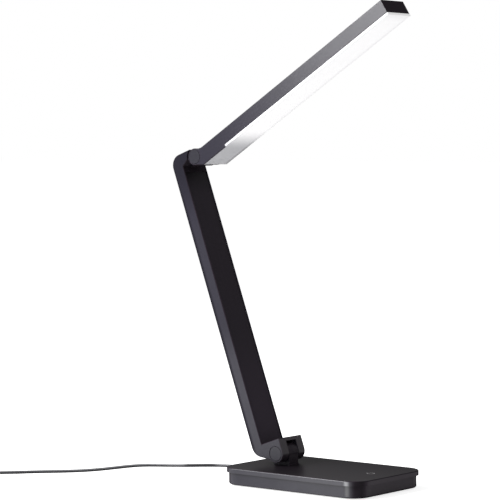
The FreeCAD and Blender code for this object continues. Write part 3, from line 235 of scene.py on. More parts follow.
class LampFinishes(bpy.types.PropertyGroup):
    """Colours of the lamp's materials."""

    shell: FloatVectorProperty(
        name="Shell", description="Moulded shells of base, arm and light bar", subtype="COLOR",
        min=0, max=1, default=(0.0365, 0.0288, 0.0378))
    tray: FloatVectorProperty(
        name="Tray", description="Lower shell of the base", subtype="COLOR",
        min=0, max=1, default=(0.0352, 0.0280, 0.0365))
    cover: FloatVectorProperty(
        name="Cover", description="Flat cover in the arm's front", subtype="COLOR",
        min=0, max=1, default=(0.0180, 0.0136, 0.0198))
    cap: FloatVectorProperty(
        name="Caps", description="Discs over the hinge pins", subtype="COLOR",
        min=0, max=1, default=(0.034, 0.033, 0.041))
    diffuser: FloatVectorProperty(
        name="Diffuser", description="Milky cover of the light bar", subtype="COLOR",
        min=0, max=1, default=(0.50, 0.50, 0.525))
    lead: FloatVectorProperty(
        name="Lead", description="Jacket of the lead", subtype="COLOR",
        min=0, max=1, default=(0.028, 0.028, 0.031))
    # Colour of the painted highlight on the lead's upper side
    upper_highlight: FloatVectorProperty(
        name="Lead bloom", description="Pale film on the upper side of the lead", subtype="COLOR",
        min=0, max=1, default=(0.25, 0.25, 0.262))
    rubber: FloatVectorProperty(
        name="Rubber", description="Feet and strain relief", subtype="COLOR",
        min=0, max=1, default=(0.020, 0.020, 0.021))
    mark: FloatVectorProperty(
        name="Touch mark", description="Print of the touch switch", subtype="COLOR",
        min=0, max=1, default=(0.13, 0.125, 0.13))


class LampSizes(bpy.types.PropertyGroup):
    """Sizes of the pieces made here."""

    lead_diameter: FloatProperty(
        name="Lead diameter", description="Thickness of the lead", unit="LENGTH", default=0.003)
    lead_length: FloatProperty(
        name="Lead length", description="Real length of the lead", unit="LENGTH", default=1.448)
    coil_inner: FloatProperty(
        name="Coil inner radius", description="Smallest turn of the coil", unit="LENGTH", default=0.013)
    coil_pitch: FloatProperty(
        name="Coil pitch", description="Distance between turns and layers", unit="LENGTH", default=0.0036)
    tie_reach: FloatVectorProperty(
        name="Tie reach", description="Inner and outer face of the tie from the coil's middle",
        unit="LENGTH", size=2, default=(0.01011, 0.0245))
    tie_height: FloatVectorProperty(
        name="Tie height", description="Lower and upper face of the tie from the coil's first turn",
        unit="LENGTH", size=2, default=(-0.0025, 0.0133))
    tie_width: FloatProperty(
        name="Tie width", description="Width of the tie's band", unit="LENGTH", default=0.006)
    tie_thickness: FloatProperty(
        name="Tie thickness", description="Thickness of the tie's band", unit="LENGTH", default=0.0008)
    neck_length: FloatProperty(
        name="Neck length", description="Length of the plug's strain relief", unit="LENGTH", default=0.009)
    neck_radius: FloatProperty(
        name="Neck radius", description="Radius of the strain relief at the lead", unit="LENGTH",
        default=0.0021)
    neck_root_radius: FloatProperty(
        name="Neck root radius", description="Radius of the strain relief at the grip", unit="LENGTH",
        default=0.0033)
    grip_length: FloatProperty(
        name="Grip length", description="Length of the plug's grip", unit="LENGTH", default=0.022)
    grip_width: FloatProperty(
        name="Grip width", description="Width of the plug's grip", unit="LENGTH", default=0.0156)
    grip_height: FloatProperty(
        name="Grip height", description="Height of the plug's grip", unit="LENGTH", default=0.008)
    rib_height: FloatProperty(
        name="Rib height", description="Depth of the panel that the grip's ribs stand in", unit="LENGTH",
        default=0.0005)
    foot_radius: FloatProperty(
        name="Foot radius", description="Radius of the rubber feet", unit="LENGTH", default=0.006)
    screw_head_radius: FloatProperty(
        name="Screw head", description="Head radius of the base's screws", unit="LENGTH", default=0.0024)
    screw_head_height: FloatProperty(
        name="Screw head height", description="Head height of the base's screws", unit="LENGTH",
        default=0.0016)
    screw_radius: FloatProperty(
        name="Screw radius", description="Shank radius of the base's screws", unit="LENGTH", default=0.00125)
    cross_reach: FloatProperty(
        name="Cross reach", description="Half the length of the screws' cross recess", unit="LENGTH",
        default=0.0013)
    cross_width: FloatProperty(
        name="Cross width", description="Width of the screws' cross recess", unit="LENGTH", default=0.0006)
    mark_radius: FloatProperty(
        name="Mark radius", description="Radius of the touch mark's ring", unit="LENGTH", default=0.0034)
    mark_stroke: FloatProperty(
        name="Mark stroke", description="Stroke of the touch mark", unit="LENGTH", default=0.0009)


class StudioSettings(bpy.types.PropertyGroup):
    """Camera and light of the studio."""

    eye: FloatVectorProperty(
        name="Eye", description="Place of the camera", subtype="TRANSLATION", unit="LENGTH",
        default=(1.2394, -1.6532, 0.3163))
    target: FloatVectorProperty(
        name="Target", description="Point that the camera looks at", subtype="TRANSLATION", unit="LENGTH",
        default=(-0.05181, -0.04149, 0.21874))
    lens: FloatProperty(
        name="Lens", description="Focal length in millimetres", unit="CAMERA", default=161.9)
    roll: FloatProperty(
        name="Roll", description="Turn of the camera about its view", subtype="ANGLE", default=-0.00155)
    world_level: FloatProperty(
        name="World level", description="Strength of the light from all round", default=0.25)
    key_power: FloatProperty(
        name="Key power", description="Power of the large soft lamp", unit="POWER", default=26.0)
    sheen_power: FloatProperty(
        name="Sheen power", description="Power of the lamp that shines along the light bar", unit="POWER",
        default=1.7)
    fill_power: FloatProperty(
        name="Fill power", description="Power of the lamp over the desk on the near side", unit="POWER",
        default=6.0)


class Wire:
    """A shader value that takes part in sums."""

    def __init__(self, nodes, socket):
        self.nodes = nodes
        self.socket = socket

    def __add__(self, other):
        return self.nodes.math("ADD", self, other)

    def __radd__(self, other):
        return self.nodes.math("ADD", other, self)

    def __sub__(self, other):
        return self.nodes.math("SUBTRACT", self, other)

    def __rsub__(self, other):
        return self.nodes.math("SUBTRACT", other, self)

    def __mul__(self, other):
        return self.nodes.math("MULTIPLY", self, other)

    def __rmul__(self, other):
        return self.nodes.math("MULTIPLY", other, self)

    def __abs__(self):
        return self.nodes.math("ABSOLUTE", self)


class Nodes:
    """A node tree, and short ways to fill it."""

    def __init__(self, tree):
        self.tree = tree

    def node(self, kind, settings=None, sockets=None, output=0):
        """Add a node, set it up, feed its sockets and return one output."""
        node = self.tree.nodes.new(kind)
        for name, value in (settings or {}).items():
            setattr(node, name, value)
        for key, value in (sockets or {}).items():
            self.feed(node.inputs[key], value)
        return Wire(self, node.outputs[output])

    def feed(self, socket, value):
        """Give a socket a link or a plain value."""
        if isinstance(value, Wire):
            self.tree.links.new(value.socket, socket)
        else:
            socket.default_value = value

    def math(self, operation, first, second=0.0):
        """One step of arithmetic."""
        return self.node("ShaderNodeMath", {"operation": operation}, {0: first, 1: second})

    def larger(self, first, *others):
        """The largest of several values."""
        for other in others:
            first = self.math("MAXIMUM", first, other)
        return first


class Finish(Nodes):
    """A node material around one principled shader."""

    def __init__(self, name, **settings):
        self.material = bpy.data.materials.new(name)
        self.material.use_nodes = True
        super().__init__(self.material.node_tree)
        self.shader = self.tree.nodes["Principled BSDF"]
        for socket, value in settings.items():
            self.set(socket.replace("_", " "), value)

    def set(self, name, value):
        """Feed one of the shader's sockets."""
        self.feed(self.shader.inputs[name], value)

    def place(self, location=(0, 0, 0), turn=0.0):
        """Object coordinates in a frame that stands at a place and is turned about the hinge direction."""
        own = self.node("ShaderNodeTexCoord", output="Object")
        return self.node("ShaderNodeMapping", {"vector_type": "TEXTURE"},
                         {"Vector": own, "Location": location, "Rotation": (0, turn, 0)})

    def axes(self, vector):
        """The three numbers of a vector."""
        split = self.node("ShaderNodeSeparateXYZ", sockets={0: vector})
        return [Wire(self, socket) for socket in split.socket.node.outputs]

    def looks(self):
        """How far a face looks ahead, sideways and up."""
        return self.axes(self.node("ShaderNodeTexCoord", output="Normal"))

    def noise(self, vector, scale, detail=2.0, roughness=0.5):
        """Soft random clouds."""
        return self.node("ShaderNodeTexNoise", sockets={
            "Vector": vector, "Scale": scale, "Detail": detail, "Roughness": roughness})

    def smooth(self, value, low, high):
        """A soft step from 0 to 1 between two values."""
        return self.node("ShaderNodeMapRange", {"interpolation_type": "SMOOTHSTEP"}, {
            "Value": value, "From Min": low, "From Max": high})

    def band(self, value, start, end):
        """A soft step up and a soft step down again."""
        return self.smooth(value, *start) * (1.0 - self.smooth(value, *end))

    def mix(self, factor, first, second):
        """A blend of two colours."""
        colours = {0: factor, 6: opaque(first), 7: opaque(second)}
        return self.node("ShaderNodeMix", {"data_type": "RGBA"}, colours, output=2)

    def vary(self, factor, colour, first, second):
        """A blend of two shades of one colour."""
        return self.mix(factor, shade(colour, first), shade(colour, second))

    def bump(self, height, distance, strength):
        """A surface that rises and falls with a value."""
        return self.node("ShaderNodeBump", sockets={
            "Height": height, "Distance": distance, "Strength": strength})

    def side_face(self):
        """Near 1 on faces that look sideways."""
        return self.smooth(abs(self.looks()[1]), *SIDE_FACE)

    def corner_highlight_band(self):
        """Near 1 where a side starts to turn to the front or the top, where the shells get a painted
        highlight.
        """
        ahead, side, up = self.looks()
        return self.band(abs(side), CORNER_START, CORNER_END) * self.smooth(ahead + up, *AHEAD_FACE)

    def edge_light(self, radius):
        """Near 1 on sharp edges and 0 on flat faces."""
        rounded = self.node("ShaderNodeBevel", {"samples": EDGE_SAMPLES}, {"Radius": radius})
        flat = self.node("ShaderNodeNewGeometry", output="Normal")
        facing = self.node("ShaderNodeVectorMath", {"operation": "DOT_PRODUCT"}, {0: rounded, 1: flat},
                           output="Value")
        return self.smooth(1.0 - facing, 0.02, 0.2)


def opaque(colour):
    """A colour with its alpha, or a link as it is."""
    return colour if isinstance(colour, Wire) else (*colour[:3], 1.0)


def shade(colour, factor):
    """A colour made lighter or darker."""
    return tuple(min(1.0, channel * factor) for channel in colour)


# Finishes

def moulded_plastic(name, colour, gloss=None, painted_shade=None, polished=None, coat_ior=1.5, edge=1.6,
                    corner_highlight=0.09, depth=0.45):
    """Moulded plastic: matt grain on tops and fronts, smoother sides in a darker bluish copy of the colour as
    painted sheen, clouds, painted highlights on edges and corners, and optional painted shade.
    """
    finish = Finish(name, Specular_IOR_Level=0.0, Coat_Roughness=0.32, Coat_IOR=coat_ior)
    place = finish.place()
    grains = finish.noise(place, 1 / SHELL_GRAIN, 2.0, 0.6)
    clouds = finish.noise(place, 38.0, 3.0)
    side = finish.side_face()
    rim = finish.corner_highlight_band()
    # Painted sheen: the sides get a darker, bluish copy of the colour
    side_sheen_colour = tuple(channel * tint for channel, tint in zip(colour, SIDE_SHEEN_TINT))
    matt = finish.vary(finish.smooth(grains, 0.3, 0.7) * 0.5 + clouds * 0.5, colour, 0.82, 1.18)
    plain = finish.mix(side, matt, finish.vary(clouds, side_sheen_colour, 0.88, 1.12))
    # Painted highlight, a lighter grey, where a side turns to the front or the top
    tone = finish.mix(rim * 0.8, plain, (corner_highlight, corner_highlight, corner_highlight * 1.05))
    # Painted highlight on sharp edges, in patches; edge sets how light it is
    edge_highlight = finish.edge_light(EDGE_HIGHLIGHT_WIDTH) * finish.smooth(clouds, 0.2, 0.8)
    lit = finish.mix(edge_highlight * 0.5, tone, shade(colour, edge))
    # Painted shade from the optional mask, towards a darker copy of the colour
    shadow = painted_shade(finish) if painted_shade else 0.0
    deep = finish.mix(side, shade(colour, depth), shade(side_sheen_colour, depth * 1.2))
    finish.set("Base Color", finish.mix(shadow, lit, deep))
    finish.set("Roughness", clouds * 0.08 + grains * 0.1 + 0.4)
    weight = (side * 0.72 + rim * 0.28) * (clouds * 0.2 + 0.8)
    if gloss:
        weight = weight * gloss(finish)
    weight = weight * (1.0 - shadow) + 0.04
    if polished:
        weight = finish.larger(weight, polished(finish))
    finish.set("Coat Weight", weight)
    finish.set("Normal", finish.bump(grains, 0.01 * MM, 0.4))
    return finish.material


def arm_axes(finish):
    """Places across, aside and along the arm, from its hinge."""
    return finish.axes(finish.place(ARM_HINGE, -ARM_LEAN))


def arm_gloss(finish):
    """The arm's sides are duller towards the shoulder."""
    along = arm_axes(finish)[2]
    return 1.0 - finish.smooth(along, *ARM_LOWER_FADE) * 0.6 - finish.smooth(along, *ARM_UPPER_FADE) * 0.36


def fork_polish(finish):
    """The faces of the arm's fork are smoother than the rest of its front."""
    return (1.0 - finish.smooth(arm_axes(finish)[2], *FORK_END)) * 0.45


def arm_painted_shade(finish):
    """Painted shade: near 1 along the arm's soft back edge, round its shoulder and at its top."""
    across, _, along = arm_axes(finish)
    out = finish.larger(SHOULDER[0] - across, 0.0)
    over = finish.larger(along - SHOULDER[1], 0.0)
    reach = finish.math("SQRT", out * out + over * over)
    return finish.larger(finish.smooth(reach, *BACK_EDGE) * 0.9, finish.smooth(along, *ARM_TOP) * 0.75)


def knuckle_polish(finish):
    """The base's knuckle is smoothed by the fork."""
    return finish.smooth(finish.noise(finish.place(), 150.0), 0.2, 0.8) * 0.1 + 0.08


def base_gloss(finish):
    """The base's sides shine more towards the front."""
    return finish.smooth(finish.axes(finish.place())[0], *BASE_SHINE) * 0.5 + 0.55


def base_painted_shade(finish):
    """Painted shade on the front of the base's round corners, and the same darker colour on its top: near 1
    there.
    """
    ahead, _, up = finish.looks()
    return finish.larger(finish.band(abs(ahead), ROUND_START, ROUND_END) * 0.85, finish.smooth(up, *TOP_FACE))


def base_polish(finish):
    """The base's top and end faces have a faint gloss, on the top more towards the near side."""
    ahead, _, up = finish.looks()
    aside = finish.axes(finish.place())[1]
    top = finish.smooth(up, *TOP_FACE) * (0.114 - aside * 0.5)
    return finish.smooth(abs(ahead), *END_FACE) * 0.15 + top


def bar_gloss(finish):
    """The light bar's sides are dull at the root and brighter towards the tip."""
    along = finish.axes(finish.place(HEAD_HINGE, -HEAD_RISE))[0]
    return finish.smooth(along, *BAR_SHINE) * 0.85 + 0.15


def smooth_cover(name, colour):
    """The arm's front cover: a finer grain, lines along the moulding's flow, painted light towards its foot
    and painted shade at its top.
    """
    finish = Finish(name, Specular_IOR_Level=0.05)
    place = finish.place(ARM_HINGE, -ARM_LEAN)
    grains = finish.noise(place, 1 / COVER_GRAIN)
    across, side, along = finish.axes(place)
    stretched = finish.node("ShaderNodeCombineXYZ", sockets={
        "X": across * 400.0, "Y": side * 400.0, "Z": along * 6.0})
    flow = finish.noise(stretched, 1.0)
    # Painted light: the cover is lighter towards its foot
    painted_light_zone = (1.0 - finish.smooth(along, *COVER_FOOT)) * 0.8
    lower = finish.mix(painted_light_zone, finish.vary(flow, colour, 0.85, 1.2), shade(colour, 2.2))
    # Painted shade at the cover's top
    shadow = finish.smooth(along, *COVER_TOP) * 0.85
    finish.set("Base Color", finish.mix(shadow, lower, shade(colour, 0.2)))
    finish.set("Roughness", flow * 0.1 + 0.43)
    finish.set("Normal", finish.bump(grains, 0.01 * MM, 0.5))
    return finish.material


def turned_cap(name, colour, gloss):
    """A hinge cap: a fine grain, faint clouds and the shells' side gloss."""
    finish = Finish(name, Specular_IOR_Level=0.0, Coat_Roughness=0.36, Coat_IOR=1.5)
    place = finish.place()
    grains = finish.noise(place, 1 / CAP_GRAIN)
    clouds = finish.noise(place, 120.0)
    finish.set("Base Color", finish.vary(clouds, colour, 0.9, 1.12))
    finish.set("Roughness", clouds * 0.1 + 0.38)
    finish.set("Coat Weight", finish.side_face() * (clouds * 0.1 + gloss) + 0.02)
    finish.set("Normal", finish.bump(grains, 0.012 * MM, 0.5))
    return finish.material


def milky_diffuser(name, colour):
    """The light bar's cover: unlit and greyer at the hinge, lit from the LED board's start, a dimmer glow at
    its rims and tip, and painted shade on its far rim.
    """
    finish = Finish(name, Roughness=0.5, IOR=1.49, Emission_Strength=0.56)
    place = finish.place(HEAD_HINGE, -HEAD_RISE)
    along, side, _ = finish.axes(place)
    clouds = finish.noise(place, 60.0)
    grains = finish.noise(place, 1 / DIFFUSER_GRAIN)
    lit = finish.smooth(along, *BAR_LIT)
    shaded_far_rim = finish.smooth(side, *FAR_RIM)
    near_rim = finish.smooth(0.0 - side, *NEAR_RIM)
    # Dimmer glow at the rims and tip; the far rim's colour is darker too, painted shade that is strongest
    # where unlit
    dull = finish.larger(shaded_far_rim * 0.16, near_rim * 0.08, finish.smooth(along, *BAR_TIP) * 0.16)
    milk = finish.vary(clouds * 0.6 + shaded_far_rim * 0.4, colour, 1.05, 0.93)
    finish.set("Base Color", finish.mix(shaded_far_rim * (1.0 - lit) * 0.8, milk, shade(colour, 0.5)))
    finish.set("Emission Color", finish.vary(lit * (1.0 - dull), LED_WHITE, 0.0, 1.0))
    finish.set("Normal", finish.bump(grains, 0.01 * MM, 0.3))
    return finish.material


def soft_rubber(name, colour, roughness=0.7):
    """Matt rubber with a fine tooth and dusty patches."""
    finish = Finish(name, IOR=1.45)
    place = finish.place()
    tooth = finish.noise(place, 1 / RUBBER_GRAIN, 3.0)
    dust = finish.smooth(finish.noise(place, 90.0, 4.0), 0.45, 0.75)
    finish.set("Base Color", finish.vary(dust * 0.4, colour, 1.0, 1.7))
    finish.set("Roughness", dust * 0.1 + roughness)
    finish.set("Normal", finish.bump(tooth, 0.03 * MM, 0.5))
    return finish.material


def lead_jacket(name, colour, upper_highlight):
    """Satin jacket of the lead: a painted highlight on its upper side, stronger towards the base, left out
    together with the coat where the lead rises to the base.
    """
    finish = Finish(name, Specular_IOR_Level=0.0, Coat_Roughness=0.2, Coat_IOR=1.4)
    place = finish.place()
    waves = finish.noise(place, 180.0)
    grains = finish.noise(place, 1 / LEAD_GRAIN)
    along = finish.axes(place)[0]
    # Painted highlight on the upper side, stronger towards the base, left out in one stretch
    painted_light_zone = finish.band(along, LEAD_DARK_START, LEAD_DARK_END)
    upper = finish.smooth(finish.looks()[2], *UPPER_FACE) * (1.0 - painted_light_zone * 0.95)
    near = finish.smooth(along, *LEAD_NEAR) * 0.6 + 0.4
    jacket = finish.vary(waves, colour, 0.85, 1.25)
    finish.set("Base Color", finish.mix(upper * near * (waves * 0.2 + 0.85), jacket, upper_highlight))
    finish.set("Coat Weight", (1.0 - painted_light_zone) * 0.3)
    finish.set("Roughness", waves * 0.12 + 0.26)
    finish.set("Normal", finish.bump(waves + grains * 0.2, 0.03 * MM, 0.2))
    return finish.material


def plated_metal(name, colour, roughness):
    """Bright metal with fine brushed lines and small dull patches."""
    finish = Finish(name, Metallic=1.0)
    place = finish.place()
    brushed = finish.node("ShaderNodeMapping", sockets={"Vector": place, "Scale": (6.0, 6.0, 1.0)})
    lines = finish.noise(brushed, 600.0)
    dull = finish.noise(place, 150.0, 3.0)
    finish.set("Base Color", finish.vary(dull, colour, 0.9, 1.05))
    finish.set("Roughness", dull * 0.15 + lines * 0.1 + (roughness - 0.1))
    finish.set("Normal", finish.bump(lines, 0.008 * MM, 0.4))
    return finish.material


def printed_mark(name, colour):
    """Screen-printed ink, and the plain sheets inside."""
    finish = Finish(name, IOR=1.45)
    pores = finish.noise(finish.place(), 1 / INK_GRAIN)
    finish.set("Base Color", finish.vary(pores, colour, 0.8, 1.1))
    finish.set("Roughness", pores * 0.2 + 0.45)
    return finish.material


# Shared steps

def dress(material, *names):
    """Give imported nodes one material."""
    for name in names:
        mesh = NODES[name].data
        mesh.materials.clear()
        mesh.materials.append(material)


def add_piece(name, mesh, body, slot, material, *stands_for):
    """Link a finished mesh or curve as a piece of the lamp."""
    piece = bpy.data.objects.new(name, mesh)
    bpy.context.scene.collection.objects.link(piece)
    mesh.materials.append(material)
    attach(piece, body)
    if stands_for:
        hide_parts(*stands_for)
    return piece


def to_mesh(name, shape):
    """Turn a bmesh into a mesh with merged corners, outward faces and smooth rounds."""
    bmesh.ops.remove_doubles(shape, verts=shape.verts[:], dist=MERGE_DISTANCE)
    bmesh.ops.recalc_face_normals(shape, faces=shape.faces[:])
    for face in shape.faces:
        face.smooth = True
    for edge in shape.edges:
        edge.smooth = edge.is_manifold and edge.calc_face_angle(0.0) < SMOOTH_ANGLE
    mesh = bpy.data.meshes.new(name)
    shape.to_mesh(mesh)
    shape.free()
    return mesh


def coil_outer(sizes):
    """Radius of the coil's largest turn."""
    return sizes.coil_inner + sizes.coil_pitch * COIL_TURNS_PER_LAYER


def coil_layout(sizes):
    """The lead's end before the coil, the coil's middle, and the directions ahead and sideways there."""
    end, before = Vector(LEAD_POINTS[-1]), Vector(LEAD_POINTS[-2])
    heading = end - before
    heading.z = 0
    heading.normalize()
    sideways = Vector((-heading.y, heading.x, 0))
    middle = end + heading * sizes.lead_diameter - sideways * coil_outer(sizes)
    return end, middle, heading, sideways


def lead_route(sizes):
    """All the control points of the lead, from the strain relief to the plug."""
    end, middle, heading, sideways = coil_layout(sizes)
    points = [Vector(point) for point in LEAD_POINTS]
    for step in range(int(COIL_TURNS_PER_LAYER * COIL_POINTS_PER_TURN * COIL_LAYERS) + 1):
        turns = step / COIL_POINTS_PER_TURN
        level = min(int(turns / COIL_TURNS_PER_LAYER), COIL_LAYERS - 1)
        shift = sizes.coil_pitch * (turns - level * COIL_TURNS_PER_LAYER)
        radius = sizes.coil_inner + shift if level % 2 else coil_outer(sizes) - shift
        height = sum(climb((turns - COIL_TURNS_PER_LAYER * lift) / CLIMB_TURN_SHARE)
                     for lift in range(1, COIL_LAYERS))
        turn = 2 * math.pi * turns
        spoke = sideways * math.cos(turn) + heading * math.sin(turn)
        points.append(middle + spoke * radius + UP * (sizes.coil_pitch * height))
    start = end + heading * sizes.lead_diameter * 2
    for ahead, aside, height in TAIL_STEPS:
        point = start + heading * ahead + sideways * aside
        point.z = height
        points.append(point)
    return points


def climb(share):
    """A soft rise from 0 at -1 to 1 at +1."""
    share = min(1.0, max(0.0, (share + 1) / 2))
    return share * share * (3 - 2 * share)


def corner_places(low, high, inset):
    """The four places that stand in from a box's corners."""
    return [(x, y) for x in (low.x + inset, high.x - inset) for y in (low.y + inset, high.y - inset)]


def block(shape, low, high):
    """A box between two corners, as its vertices."""
    low, high = Vector(low), Vector(high)
    verts = bmesh.ops.create_cube(shape, size=1.0)["verts"]
    bmesh.ops.scale(shape, verts=verts, vec=high - low)
    bmesh.ops.translate(shape, verts=verts, vec=(low + high) / 2)
    return verts


def edges_of(items, axis=None):
    """The edges at given vertices or faces, all of them or those along one axis."""
    edges = dict.fromkeys(
        edge for item in items
        for edge in (item.edges if isinstance(item, bmesh.types.BMFace) else item.link_edges))
    if axis is None:
        return list(edges)
    return [edge for edge in edges
            if abs((edge.verts[0].co - edge.verts[1].co).normalized()[axis]) > SQUARE_ON]


def bevel(shape, edges, width, steps):
    """Round edges."""
    bmesh.ops.bevel(shape, geom=edges, offset=width, offset_type="OFFSET", affect="EDGES",
                    segments=steps, profile=0.5, material=-1)


def revolve(shape, profile, axis, centre=(0, 0, 0), steps=32):
    """Spin a line of points once round an axis."""
    verts = [shape.verts.new(Vector(point) + Vector(centre)) for point in profile]
    edges = [shape.edges.new(pair) for pair in zip(verts, verts[1:])]
    bmesh.ops.spin(shape, geom=verts + edges, cent=centre, axis=axis, angle=2 * math.pi, steps=steps,
                   use_merge=True)


def set_down(shape, place, ahead, aside):
    """Turn a shape's first two axes to two level directions and move it to its place."""
    turn = Matrix((ahead, aside, UP)).transposed()
    bmesh.ops.transform(shape, matrix=turn.to_4x4(), verts=shape.verts[:])
    bmesh.ops.translate(shape, vec=place, verts=shape.verts[:])


class LAMP_OT_tie(bpy.types.Operator):
    """Strap the coil with a band whose end overlaps"""

    bl_idname = "lamp.tie"
    bl_label = "Tie"

    def execute(self, context):
        finishes, sizes = context.scene.lamp_finishes, context.scene.lamp_sizes
        near, far = sizes.tie_reach
        low, high = sizes.tie_height
        half = sizes.tie_width / 2
        shape = bmesh.new()
        band = block(shape, (near, -half, low), (far, half, high))
        bevel(shape, edges_of(band, 1), TIE_CORNER, 4)
        ends = [face for face in shape.faces if abs(face.normal.y) > SQUARE_ON]
        bmesh.ops.delete(shape, geom=ends, context="FACES")
        bmesh.ops.solidify(shape, geom=shape.faces[:], thickness=sizes.tie_thickness)
        below, above = TIE_TAIL_GAPS
        half_tail = half * TIE_TAIL_SHARE
        tail = block(shape, (far, -half_tail, low + below),
                     (far + sizes.tie_thickness, half_tail, high - above))
        bevel(shape, edges_of(tail, 0), TIE_TAIL_CORNER, 3)
        _, middle, heading, sideways = coil_layout(sizes)
        set_down(shape, middle, -sideways, heading)
        add_piece("tie_strap", to_mesh("tie_strap", shape), "base", "rubber",
                  soft_rubber("strap_loops", finishes.rubber, 0.85), "cord_tie")
        return {"FINISHED"}


class LAMP_OT_plug(bpy.types.Operator):
    """Mould the plug's grip with its ribs and strain relief, and finish its metal"""

    bl_idname = "lamp.plug"
    bl_label = "Plug"

    def execute(self, context):
        finishes, sizes = context.scene.lamp_finishes, context.scene.lamp_sizes
        shape = bmesh.new()
        self.add_neck(shape, sizes)
        self.add_grip(shape, sizes)
        self.add_ribs(shape, sizes)
        _, _, heading, sideways = coil_layout(sizes)
        set_down(shape, lead_route(sizes)[-1], heading, sideways)
        add_piece("plug_moulding", to_mesh("plug_moulding", shape), "base", "cord_jacket",
                  soft_rubber("plug_rubber", finishes.lead, 0.55), "plug_grip")
        dress(plated_metal("plug_plating", PLUG_METAL, 0.22), "plug_shell")
        dress(printed_mark("plug_insulator", PLUG_INSULATOR), "plug_tongue")
        return {"FINISHED"}

    def add_neck(self, shape, sizes):
        """A tapered neck with ring grooves."""
        profile = [(0, 0, 0)]
        pitch = sizes.neck_length / NECK_RINGS
        flare = sizes.neck_root_radius - sizes.neck_radius
        for ring in range(NECK_RINGS):
            radius = sizes.neck_radius + flare * ring / (NECK_RINGS - 1)
            profile += [((ring + share) * pitch, 0, radius - depth) for share, depth in NECK_RING]
        profile += [(sizes.neck_length, 0, sizes.neck_root_radius), (sizes.neck_length, 0, 0)]
        revolve(shape, profile, (1, 0, 0))

    def add_grip(self, shape, sizes):
        """A flat grip with round corners at the neck, soft edges and a sunk panel on both flats."""
        start = sizes.neck_length
        half_width, half_height = sizes.grip_width / 2, sizes.grip_height / 2
        grip = block(shape, (start, -half_width, -half_height),
                     (start + sizes.grip_length, half_width, half_height))
        uprights = [edge for edge in edges_of(grip, 2) if edge.verts[0].co.x < start + MM]
        bevel(shape, uprights, GRIP_CORNER, 5)
        bevel(shape, edges_of(self.flats(shape)), GRIP_EDGE, 3)
        for face in self.flats(shape):
            bmesh.ops.inset_region(shape, faces=[face], thickness=PANEL_MARGIN, depth=-sizes.rib_height,
                                   use_even_offset=True)

    def flats(self, shape):
        """The grip's two large level faces."""
        return [face for face in shape.faces
                if abs(face.normal.z) > SQUARE_ON and face.calc_area() > GRIP_FLAT_AREA]

    def add_ribs(self, shape, sizes):
        """Low ribs across both panels."""
        half_rib = sizes.grip_width / 2 * RIB_WIDTH_SHARE
        foot = sizes.grip_height / 2 - sizes.rib_height * RIB_FOOT
        crest = sizes.grip_height / 2 - sizes.rib_height * RIB_CREST
        for low, high in ((-crest, -foot), (foot, crest)):
            for rib in range(RIB_COUNT):
                middle = sizes.neck_length + sizes.grip_length * (rib + 1.5) / (RIB_COUNT + 2)
                bar = block(shape, (middle - sizes.rib_height, -half_rib, low),
                            (middle + sizes.rib_height, half_rib, high))
                bevel(shape, edges_of(bar), RIB_EDGE, 2)


class LAMP_OT_feet(bpy.types.Operator):
    """Turn the four feet with a ring groove below"""

    bl_idname = "lamp.feet"
    bl_label = "Feet"

    def execute(self, context):
        finishes, sizes = context.scene.lamp_finishes, context.scene.lamp_sizes
        low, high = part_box("rubber_feet")
        radius = sizes.foot_radius
        profile = [(0, 0, high.z), (radius, 0, high.z)]
        profile += [(radius - inset, 0, low.z + height) for inset, height in FOOT_RIM]
        profile += [(radius * share, 0, low.z + height) for share, height in FOOT_GROOVE]
        profile.append((0, 0, low.z))
        shape = bmesh.new()
        for x, y in corner_places(low, high, radius):
            revolve(shape, profile, UP, (x, y, 0))
        add_piece("ringed_feet", to_mesh("ringed_feet", shape), "base", "rubber",
                  soft_rubber("foot_rubber", finishes.rubber), "rubber_feet")
        return {"FINISHED"}


class LAMP_OT_screws(bpy.types.Operator):
    """Cut the cross recess in the base's screws"""

    bl_idname = "lamp.screws"
    bl_label = "Base screws"

    def execute(self, context):
        sizes = context.scene.lamp_sizes
        low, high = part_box("base_screws")
        radius, shank = sizes.screw_head_radius, sizes.screw_radius
        neck = low.z + sizes.screw_head_height
        profile = [
            (radius - SCREW_CHAMFER, 0, low.z), (radius, 0, low.z + SCREW_CHAMFER), (radius, 0, neck),
            (shank, 0, neck), (shank, 0, high.z), (0, 0, high.z),
        ]
        shape = bmesh.new()
        for x, y in corner_places(low, high, radius):
            self.add_recess(shape, sizes, (x, y, low.z))
            revolve(shape, profile, UP, (x, y, 0), SCREW_STEPS)
        add_piece("cross_screws", to_mesh("cross_screws", shape), "base", "steel",
                  plated_metal("screw_plating", SCREW_METAL, 0.35), "base_screws")
        return {"FINISHED"}

    def add_recess(self, shape, sizes, middle):
        """The flat of a screw's head with a cross sunk in it."""
        arm, half = sizes.cross_reach, sizes.cross_width / 2
        rim = bmesh.ops.create_circle(
            shape, segments=SCREW_STEPS, radius=sizes.screw_head_radius - SCREW_CHAMFER)["verts"]
        corners = [(arm, -half), (arm, half), (half, half), (half, arm), (-half, arm), (-half, half)]
        corners += [(-a, -b) for a, b in corners]
        cross = [shape.verts.new((a, b, 0)) for a, b in corners]
        loop = [shape.edges.new(pair) for pair in zip(cross, cross[1:] + cross[:1])]
        bmesh.ops.triangle_fill(shape, use_beauty=True, edges=loop + edges_of(rim))
        walls = bmesh.ops.extrude_edge_only(shape, edges=loop)["geom"]
        bottom = [item for item in walls if isinstance(item, bmesh.types.BMVert)]
        bottom_edges = [item for item in walls if isinstance(item, bmesh.types.BMEdge)]
        bmesh.ops.translate(shape, verts=bottom, vec=(0, 0, CROSS_DEPTH))
        bmesh.ops.contextual_create(shape, geom=bottom_edges)
        bmesh.ops.translate(shape, verts=rim + cross + bottom, vec=middle)


